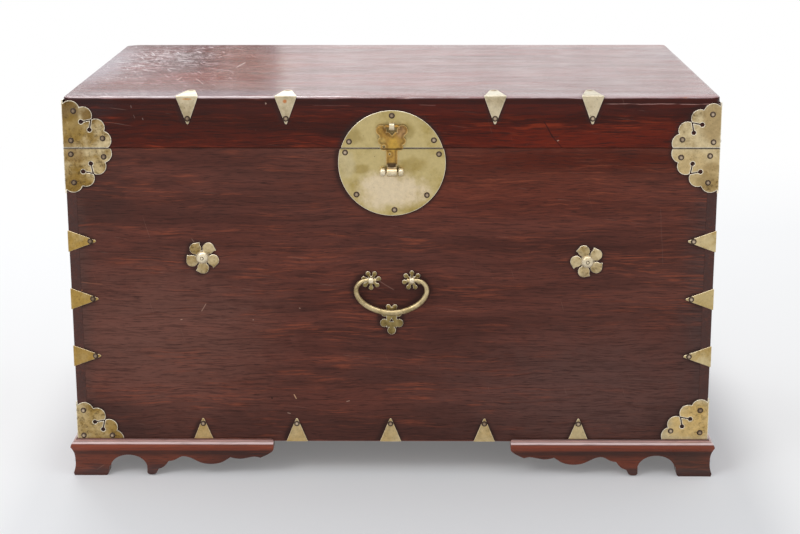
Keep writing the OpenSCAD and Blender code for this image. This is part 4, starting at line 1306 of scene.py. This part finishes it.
def fine_faces(points, faces, axes, ring, step):
    """New spots and triangles for one flat region, in millimetres on its two axes.

    Spots stand on a triangular grid of the given step, and on a line at the distance ring
    inside the outline. Outline and spots are joined by a constrained Delaunay triangulation,
    and triangles outside the region are left out.
    """
    flat = points[:, axes] / MM
    held = {}
    for face in faces:
        for pair in zip(face, face[1:] + face[:1]):
            held[pair] = held.get(pair, 0) + 1
    edges = np.array([pair for pair in held if pair[::-1] not in held])
    ends = flat[edges]
    corners = [tessellate_polygon([[Vector((*flat[v], 0)) for v in face]]) for face in faces]
    inside = [[face[c] for c in tri] for face, tris in zip(faces, corners) for tri in tris]
    inside = flat[np.array(inside)]
    low, high = ends.min((0, 1)), ends.max((0, 1))
    rows = np.arange(low[1], high[1], step * 0.87)
    columns = np.arange(low[0], high[0], step)
    grid = np.stack(np.meshgrid(columns, rows), -1)
    grid[1::2, :, 0] += step / 2
    grid = grid.reshape(-1, 2)
    run = ends[:, 1] - ends[:, 0]
    length = np.sqrt((run * run).sum(-1))
    count = np.maximum(1, np.round(length / (ring * 1.4))).astype(int)
    which = np.repeat(np.arange(len(ends)), count)
    before = np.repeat(np.cumsum(count) - count, count)
    share = (np.arange(len(which)) - before + 0.5) / count[which]
    side = np.stack([-run[:, 1], run[:, 0]], -1) / length[:, None]
    beside = ends[which, 0] + share[:, None] * run[which]
    beside = np.concatenate([beside + side[which] * ring, beside - side[which] * ring])
    beside = beside[to_outline(beside, ends) > ring * 0.9]
    grid = grid[to_outline(grid, ends) > ring * 1.7]
    spots = np.concatenate([beside, grid])
    spots = spots[covered(spots, inside)]
    rim = np.unique(edges)
    every = np.concatenate([flat[rim], spots])
    pairs = np.searchsorted(rim, edges)
    made = delaunay_2d_cdt([Vector(c) for c in every], pairs.tolist(), [], 0, 1e-6)
    first = np.array([ids[0] for ids in made[3]])
    triangles = first[np.array([f for f in made[2] if len(f) == 3])]
    middle = every[triangles].mean(1)
    triangles = triangles[covered(middle, inside)]
    return rim, spots, triangles, to_outline(spots, ends)


SHARP = math.radians(35)  # edges that turn more than this are rounded
LEAST_REGION = 6 * MM  # flat faces narrower than this keep their mesh


def softened(names, material, body, slot, soft, steps=2, ring=0.0, step=1.0, relief=None):
    """The frame's own solids with every sharp edge rounded over soft millimetres.

    With ring, the flat faces that look forward, sideways or up get a finer mesh, which relief
    lifts by a height worked out from the place and the distance to the outline. There rim
    falls from 1 at the outline to 0 at ring, and groove is a bell round twice that distance.
    """
    for source in names:
        points, faces, normals = merged_solid(source)
        rim, groove = np.full(len(points), 0.2), np.zeros(len(points))
        heights = np.round(np.array([points[f].mean(0) for f in faces]) / LEVEL_STEP)
        replaced = set()
        fine = []
        for axis, sign in ((Y, -1), (X, -1), (X, 1), (Z, 1)) if ring else ():
            looks = normals[:, axis] * sign > 0.999
            axes = [a for a in (X, Y, Z) if a != axis]
            for level in np.unique(heights[looks, axis]):
                chosen = np.flatnonzero(looks & (heights[:, axis] == level)).tolist()
                region = [faces[c] for c in chosen]
                used = np.unique(np.concatenate(region))
                if np.ptp(points[used][:, axes], axis=0).min() < LEAST_REGION:
                    continue
                used, spots, triangles, away = fine_faces(points, region, axes, ring, step)
                fresh = np.empty((len(spots), 3))
                fresh[:, axes] = spots * MM
                fresh[:, axis] = points[used[0], axis]
                if relief:
                    fresh[:, axis] += relief(spots, away) * MM * sign
                new = np.concatenate([used, np.arange(len(spots)) + len(points)])[triangles]
                points = np.concatenate([points, fresh])
                a, b, c = (points[new[:, k]] for k in range(3))
                turned = np.cross(b - a, c - a)[:, axis] * sign < 0
                new[turned] = new[turned][:, ::-1]
                fine += new.tolist()
                replaced.update(chosen)
                rim[used] = 1
                rim = np.concatenate([rim, np.clip(1 - away / ring, 0, 1)])
                groove = np.concatenate([groove, np.exp(-(((away - 2 * ring) / ring) ** 2))])
        faces = [f for n, f in enumerate(faces) if n not in replaced] + fine
        held = dict(rim=rim, groove=groove)
        piece = add_piece(source + "_dressed", points, faces, material, body, slot, **held)
        bevel = piece.modifiers.new("soft edge", "BEVEL")
        bevel.width = soft * MM
        bevel.segments = steps
        bevel.limit_method = "ANGLE"
        bevel.angle_limit = SHARP
        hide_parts(source)


# A relief takes the spots and their distances to the outline, and gives heights, all in mm


def hammered(spots, away):
    """Uneven sheet: up to 0.3 mm in by a slow noise, fading out towards the outline."""
    slow = 0.5 + 0.5 * value_noise(spots[:, 0] / 11, spots[:, 1] / 11, 31)
    return -0.3 * slow * np.clip((away - 1) / 4, 0, 1)


def petals(spots, away):
    """Cushioned petals: up by 0.7 * (1 - e^(-d / 2)) of the distance d to the outline."""
    return 0.7 * (1 - np.exp(-away / 2))


def cast_field(spots, away):
    """Cast hasp: a groove 0.5 mm deep along the outline and a low dome over the field."""
    return 0.5 * (1 - np.exp(-away / 3)) - 0.75 * np.exp(-(((away - 1.7) / 0.7) ** 2))


SHEET_SOFT = 0.45  # rolled edge of a sheet, in millimetres
SHEETS = (  # frame nodes, finish, body, width of the rim, cells of the mesh, relief
    (("lower_lock_plate",), lock_brass, "chest", 0.9, 2.4, hammered),
    (("upper_lock_plate",), lock_brass, "lid", 0.9, 2.4, hammered),
    (("body_corner_upper_left", "body_corner_upper_right", "body_corner_lower_left",
      "body_corner_lower_right"), plate_brass, "chest", 1.4, 1.8, hammered),
    (("side_straps_left", "side_straps_right", "bottom_straps"), body_strap_brass, "chest",
     0.8, 1.8, hammered),
    (("lid_corner_left", "lid_corner_right"), plate_brass, "lid", 1.4, 1.8, hammered),
    (("lid_straps",), strap_brass, "lid", 0.8, 1.8, None),
    (("bail_rosette_left", "bail_rosette_right", "bail_back_plate"), rosette_brass, "chest",
     0.7, 1.2, petals),
    (("stud_rosette_left", "stud_rosette_right"), plate_brass, "chest", 0.8, 1.4, petals),
)
for names, material, body, ring, step, relief in SHEETS:
    softened(names, material, body, "sheet_brass", SHEET_SOFT, ring=ring, step=step, relief=relief)
softened(("hasp",), hasp_brass, "hasp", "hasp_brass", 0.6, ring=1.4, relief=cast_field)
softened(("hasp_eye",), polished_brass, "lid", "polished_brass", 0.9, steps=3)
FRONT_FEET = ("front_bracket_left", "front_bracket_right")
SIDE_FEET = ("side_bracket_front_left", "side_bracket_front_right", "side_bracket_rear_left",
             "side_bracket_rear_right")
softened(FRONT_FEET, foot_front_wood, "chest", "foot_wood", 0.7)
softened(SIDE_FEET, foot_side_wood, "chest", "foot_wood", 0.7)

# ---- nails ----


def islands(name):
    """Boxes (low, high) of the separate solids in a frame node. Each point starts with its own
    label, and every triangle hands its lowest label round until nothing changes."""
    places, corners = merged_corners(name)
    label = np.arange(len(places))
    while True:
        lowest = label[corners].min(1)
        spread = label.copy()
        np.minimum.at(spread, corners.ravel(), np.repeat(lowest, 3))
        if (spread == label).all():
            break
        label = spread
    return [(places[label == n].min(0), places[label == n].max(0)) for n in np.unique(label)]


NAIL = np.array([
    [4.2, 0.02, 0.4], [3.9, 0.10, 1.0], [3.5, 0.16, 1.0], [3.4, 0.75, 1.0],
    [2.9, 1.35, 0.95], [2.2, 1.75, 0.7], [1.3, 2.0, 0.15], [0.12, 2.1, 0.0],
])  # radius and height in millimetres, and darkening: a dirt ring, and a darker flank and clean top that partly paint the dome's shading
NAIL_SIDES = 16
TOP_NAIL = 0.4  # height of the nails on the top board, as a share of the others'
TOP_NAIL_DIRT_AND_SHADE = 0.35  # and their dirt and painted shade
INSIDE = np.array([0, (front_y + back_y) / 2, 0.3])  # a spot inside the chest


def nail_heads(name, body):
    """Every nail of a frame node as a domed head in a dark ring: the profile NAIL turned round
    each nail's own axis, all nails and turns in one array. The ring is dirt, and the darker
    flank and clean pale top of the dome are partly painted shade and highlight. Nails on the top
    board are lower and cleaner."""
    boxes = np.array(islands(name))
    middle = boxes.mean(1)
    size = boxes[:, 1] - boxes[:, 0]
    axis = size.argmin(1)
    rows = np.arange(len(boxes))
    sign = np.where(middle[rows, axis] > INSIDE[axis], 1.0, -1.0)
    base = np.where(sign > 0, boxes[rows, 0, axis], boxes[rows, 1, axis])
    out = np.eye(3)[axis] * sign[:, None]
    side_a = np.eye(3)[(axis + 1) % 3]
    side_b = np.cross(out, side_a)
    foot = middle.copy()
    foot[rows, axis] = base
    angle = np.linspace(0, 2 * np.pi, NAIL_SIDES, endpoint=False)
    squash = 1 + 0.05 * value_noise(rows * 3.7, rows * 1.3, 8)
    radius, height, dirt_and_shade = NAIL[:, 0] * MM, NAIL[:, 1] * MM, NAIL[:, 2]
    ring = (side_a[:, None] * np.cos(angle)[None, :, None]
            + side_b[:, None] * np.sin(angle)[None, :, None] * squash[:, None, None])
    on_top = axis == Z
    flat = np.where(on_top, TOP_NAIL, 1.0)[:, None, None, None]
    points = (foot[:, None, None] + ring[:, None] * radius[None, :, None, None]
              + out[:, None, None] * height[None, :, None, None] * flat)
    faces = []
    for nail in rows:
        faces += capped_tube(len(NAIL), NAIL_SIDES, nail * len(NAIL) * NAIL_SIDES)
    # A dirt ring, and painted shade on the dome's flank that leaves its top pale as a painted
    # highlight.
    shade_and_soil = dirt_and_shade[None, :, None] * np.where(on_top, TOP_NAIL_DIRT_AND_SHADE, 1.0)[:, None, None]
    shade_and_soil = np.broadcast_to(shade_and_soil, points.shape[:3])
    piece = add_piece(
        name + "_dressed", points, faces, nail_brass, body, "polished_brass", ring=shade_and_soil
    )
    outward(piece)
    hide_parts(name)
    return piece


for nails in ("lock_plate_nails_lower", "body_corner_nails", "body_strap_nails"):
    nail_heads(nails, "chest")
for nails in ("lock_plate_nails_upper", "lid_corner_nails", "lid_strap_nails"):
    nail_heads(nails, "lid")

# ---- turned domes, eyes and the bail ----

TURNED_SIDES = 40


def turned_on_front(name, profile, centre, body, material, slot):
    """Profile of (radius, height off the face) in millimetres, with the darkening at each point,
    turned round the front's normal."""
    dirt_and_shade = profile[:, 2]
    profile = profile[:, :2] * MM
    angle = np.linspace(0, 2 * np.pi, TURNED_SIDES, endpoint=False)
    points = np.empty((len(profile), TURNED_SIDES, 3))
    points[:, :, X] = centre[0] + profile[:, :1] * np.cos(angle)
    points[:, :, Y] = front_y - profile[:, 1:]
    points[:, :, Z] = centre[1] + profile[:, :1] * np.sin(angle)
    faces = capped_tube(len(profile), TURNED_SIDES)
    shade_and_soil = np.broadcast_to(dirt_and_shade[:, None], points.shape[:2])
    piece = add_piece(name + "_dressed", points, faces, material, body, slot, sharp=50, ring=shade_and_soil)
    outward(piece)
    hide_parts(name)
    return piece


def stud_profile():
    """Dome of a stud: a dark foot ring, a bead, a rounded dome and a small boss on top. Each
    row is radius, height and darkening. The dome has the radius 9.3 * cos(a) ^ 0.75 at the height
    6.9 * sin(a) over its foot."""
    rise_angle = np.radians(np.linspace(12, 78, 9))
    dome = np.stack(
        [9.3 * np.cos(rise_angle) ** 0.75, 1.7 + 6.9 * np.sin(rise_angle), rise_angle * 0], -1
    )
    foot = [[10.2, 1.2, 0.8], [10.1, 1.5, 0.7], [9.4, 1.6, 0.6]]
    boss = [[2.3, 8.55, 0.9], [2.0, 8.5, 1.0], [1.8, 9.4, 0.5], [1.3, 9.9, 0.0], [0.2, 10.0, 0.0]]
    return np.concatenate([foot, dome, boss])


for side in ("left", "right"):
    low, high = (np.array(c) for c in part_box(f"stud_dome_{side}"))
    middle = (low + high) / 2
    turned_on_front(f"stud_dome_{side}", stud_profile(), (middle[X], middle[Z]), "chest",
                    polished_brass, "polished_brass")


def beads(name, centre, half, power, body, material, slot, bore=0.0):
    """Rounded block: x = a * f(cos v), and y and z = b * f(sin v) round the X axis, where
    f(t) keeps the sign of t and raises its size to 2 / power. A bore makes it a thick ring."""
    across = 28
    steps = 22
    v = np.linspace(0.03, np.pi - 0.03, steps)
    x = np.sign(np.cos(v)) * np.abs(np.cos(v)) ** (2 / power)
    r = np.abs(np.sin(v)) ** (2 / power)
    radius = np.maximum(r * half[1], bore + 0.0002)
    if bore:
        x = np.append(x, [x[-1], x[0]])
        radius = np.append(radius, [bore, bore])
    angle = np.linspace(0, 2 * np.pi, across, endpoint=False)
    points = np.empty((len(x), across, 3))
    points[:, :, X] = centre[0] + (x * half[0])[:, None]
    points[:, :, Y] = centre[1] + radius[:, None] * np.cos(angle)
    points[:, :, Z] = centre[2] + radius[:, None] * np.sin(angle)
    faces = tube_faces(len(x), across, closed_rows=True) if bore else capped_tube(len(x), across)
    piece = outward(add_piece(name + "_dressed", points, faces, material, body, slot, sharp=60))
    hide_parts(name)
    return piece


tube_lo, tube_hi = (np.array(c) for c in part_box("lock_eye_left"))
tube_r = (tube_hi[Z] - tube_lo[Z]) / 2
tube_y = tube_lo[Y] + tube_r
tube_z = (tube_lo[Z] + tube_hi[Z]) / 2
BAR_R = 3 * MM
for side in ("left", "right"):
    low, high = (np.array(c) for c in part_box(f"lock_eye_{side}"))
    half = (high[X] - low[X]) / 2
    beads(f"lock_eye_{side}", (low[X] + half, tube_y, tube_z), (half, tube_r), 3.6, "chest",
          polished_brass, "polished_brass", bore=BAR_R)
    low, high = (np.array(c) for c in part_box(f"bail_eye_{side}"))
    eye_r = (high[X] - low[X]) / 2
    beads(f"bail_eye_{side}", ((low[X] + high[X]) / 2, low[Y] + eye_r, (low[Z] + high[Z]) / 2),
          (eye_r * 0.8, eye_r), 4.5, "chest", polished_brass, "polished_brass")

softened(("bail_handle",), bail_brass, "bail", "polished_brass", 0.3)

# ---- frame nodes that keep their own mesh ----


def finish_node(name, material):
    """Puts a finish on every material slot of a frame node."""
    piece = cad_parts[name]
    for held in piece.material_slots:
        held.link = "OBJECT"
        held.material = material


for name in ("bottom_board", "foot_glue_blocks", "rear_bracket_left", "rear_bracket_right"):
    finish_node(name, rough_wood)
for name in sorted(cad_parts):
    if name.startswith("hinge_"):
        finish_node(name, plate_brass)

# ---- floor, light and surroundings ----


def seen_rays(tree):
    """1 for the rays of the eye, of reflections and through glass, and 0 for all others. Then
    1 for those of the eye alone."""
    path = node(tree, "ShaderNodeLightPath").outputs
    seen = larger(tree, path["Is Camera Ray"], path["Is Glossy Ray"])
    return larger(tree, seen, path["Is Transmission Ray"]), path["Is Camera Ray"]


def make_floor():
    """Wide pale floor that turns plain white far behind, to the eye and in reflections. Nearer,
    a small share of white keeps its shadows thin, and more of it lightens the floor at both
    sides of the chest and behind it."""
    mesh = bpy.data.meshes.new("floor")
    reach = 14.0
    corners = [(-reach, -reach, 0), (reach, -reach, 0), (reach, reach, 0), (-reach, reach, 0)]
    mesh.from_pydata(corners, [], [[0, 1, 2, 3]])
    floor = bpy.data.objects.new("floor", mesh)
    bpy.context.scene.collection.objects.link(floor)
    material = bpy.data.materials.new("pale floor")
    material.use_nodes = True
    tree = material.node_tree
    tree.nodes.remove(tree.nodes["Principled BSDF"])
    place = node(tree, "ShaderNodeTexCoord").outputs["Object"]
    across, back = axes_of(tree, place)[:2]
    far = rise(tree, back, 0.15, 2.2, 0.15, 1.0)
    aside = calc(tree, "ABSOLUTE", across)
    free = larger(tree, rise(tree, back, -0.36, -0.75), rise(tree, aside, 0.44, 0.6))
    wings = times(tree, free, rise(tree, aside, 0.10, 0.50, 0.0, 0.6))
    wings = larger(tree, wings, rise(tree, back, 0.3, 0.65, 0.0, 0.6))
    far = larger(tree, far, wings)
    seen = seen_rays(tree)[0]
    white = node(tree, "ShaderNodeEmission", {"Color": (1, 1, 1, 1), "Strength": 1.0})
    plain = node(tree, "ShaderNodeBsdfDiffuse", {"Color": (0.88, 0.88, 0.885, 1)})
    shares = {0: times(tree, far, seen), 1: plain.outputs[0], 2: white.outputs[0]}
    mixed = node(tree, "ShaderNodeMixShader", shares)
    tree.links.new(mixed.outputs[0], tree.nodes["Material Output"].inputs["Surface"])
    mesh.materials.append(material)


def make_world():
    """Even soft light from all round, seen as white by the eye. Reflections show white too, but
    for a dim wall low behind at the left, soft upright folds behind the chest and a bright soft
    window overhead. A direction's bearing behind the chest is x / y and its height is z. The
    folds are a noise of the bearing. The window spans the directions with x to both sides of 0
    and y from -0.5 to -0.05."""
    world = bpy.data.worlds.new("studio")
    bpy.context.scene.world = world
    world.use_nodes = True
    tree = world.node_tree
    sky = tree.nodes["Background"]
    sky.inputs["Color"].default_value = (0.93, 0.96, 1.0, 1)
    sky.inputs["Strength"].default_value = 0.76
    white = node(tree, "ShaderNodeBackground", {"Color": (1, 1, 1, 1), "Strength": 1.0})
    seen, by_eye = seen_rays(tree)
    way = node(tree, "ShaderNodeTexCoord").outputs["Generated"]
    x, y, z = axes_of(tree, way)
    bearing = calc(tree, "DIVIDE", x, larger(tree, y, 0.02))
    left = rise(tree, bearing, -0.077, -0.086)
    low = times(tree, rise(tree, z, 0.55, 0.3), rise(tree, y, 0.0, 0.3))
    left = minus(tree, left, rise(tree, bearing, -0.12, -0.18, 0.0, 0.42))
    wall = times(tree, left, low)
    upright = joined(tree, bearing, 0.0, 0.0)
    folds = rise(tree, noise(tree, upright, (38, 1, 1), 2.0, 0.6), 0.35, 0.65, 0.0, 0.16)
    level = minus(tree, 1.0, times(tree, wall, 0.72))
    level = minus(tree, level, times(tree, folds, low))
    width = rise(tree, calc(tree, "ABSOLUTE", x), 0.62, 0.45)
    depth = times(tree, rise(tree, y, -0.55, -0.42), rise(tree, y, 0.0, -0.13))
    window = times(tree, times(tree, width, depth), rise(tree, z, 0.2, 0.4))
    level = plus(tree, level, times(tree, window, 3.0))
    level = times(tree, minus(tree, level, 1.0), minus(tree, 1.0, by_eye))
    tree.links.new(plus(tree, level, 1.0), white.inputs["Strength"])
    mixed = node(tree, "ShaderNodeMixShader", {0: seen, 1: sky.outputs[0], 2: white.outputs[0]})
    tree.links.new(mixed.outputs[0], tree.nodes["World Output"].inputs["Surface"])


def add_lamp(name, place, aim, size, power):
    """Square soft lamp that looks at aim."""
    data = bpy.data.lights.new(name, "AREA")
    data.size = size
    data.energy = power
    lamp = bpy.data.objects.new(name, data)
    bpy.context.scene.collection.objects.link(lamp)
    way = np.array(aim, float) - np.array(place, float)
    turn = Vector(way).to_track_quat("-Z", "Y").to_matrix().to_4x4()
    lamp.matrix_world = Matrix.Translation(place) @ turn
    return lamp


make_floor()
make_world()
add_lamp("lamp over the front left", (-1.6, -2.0, 2.3), (0, -0.2, 0.3), 1.1, 16)
add_lamp("lamp behind", (-0.8, 2.1, 2.3), (0, 0, 0.2), 1.6, 30)
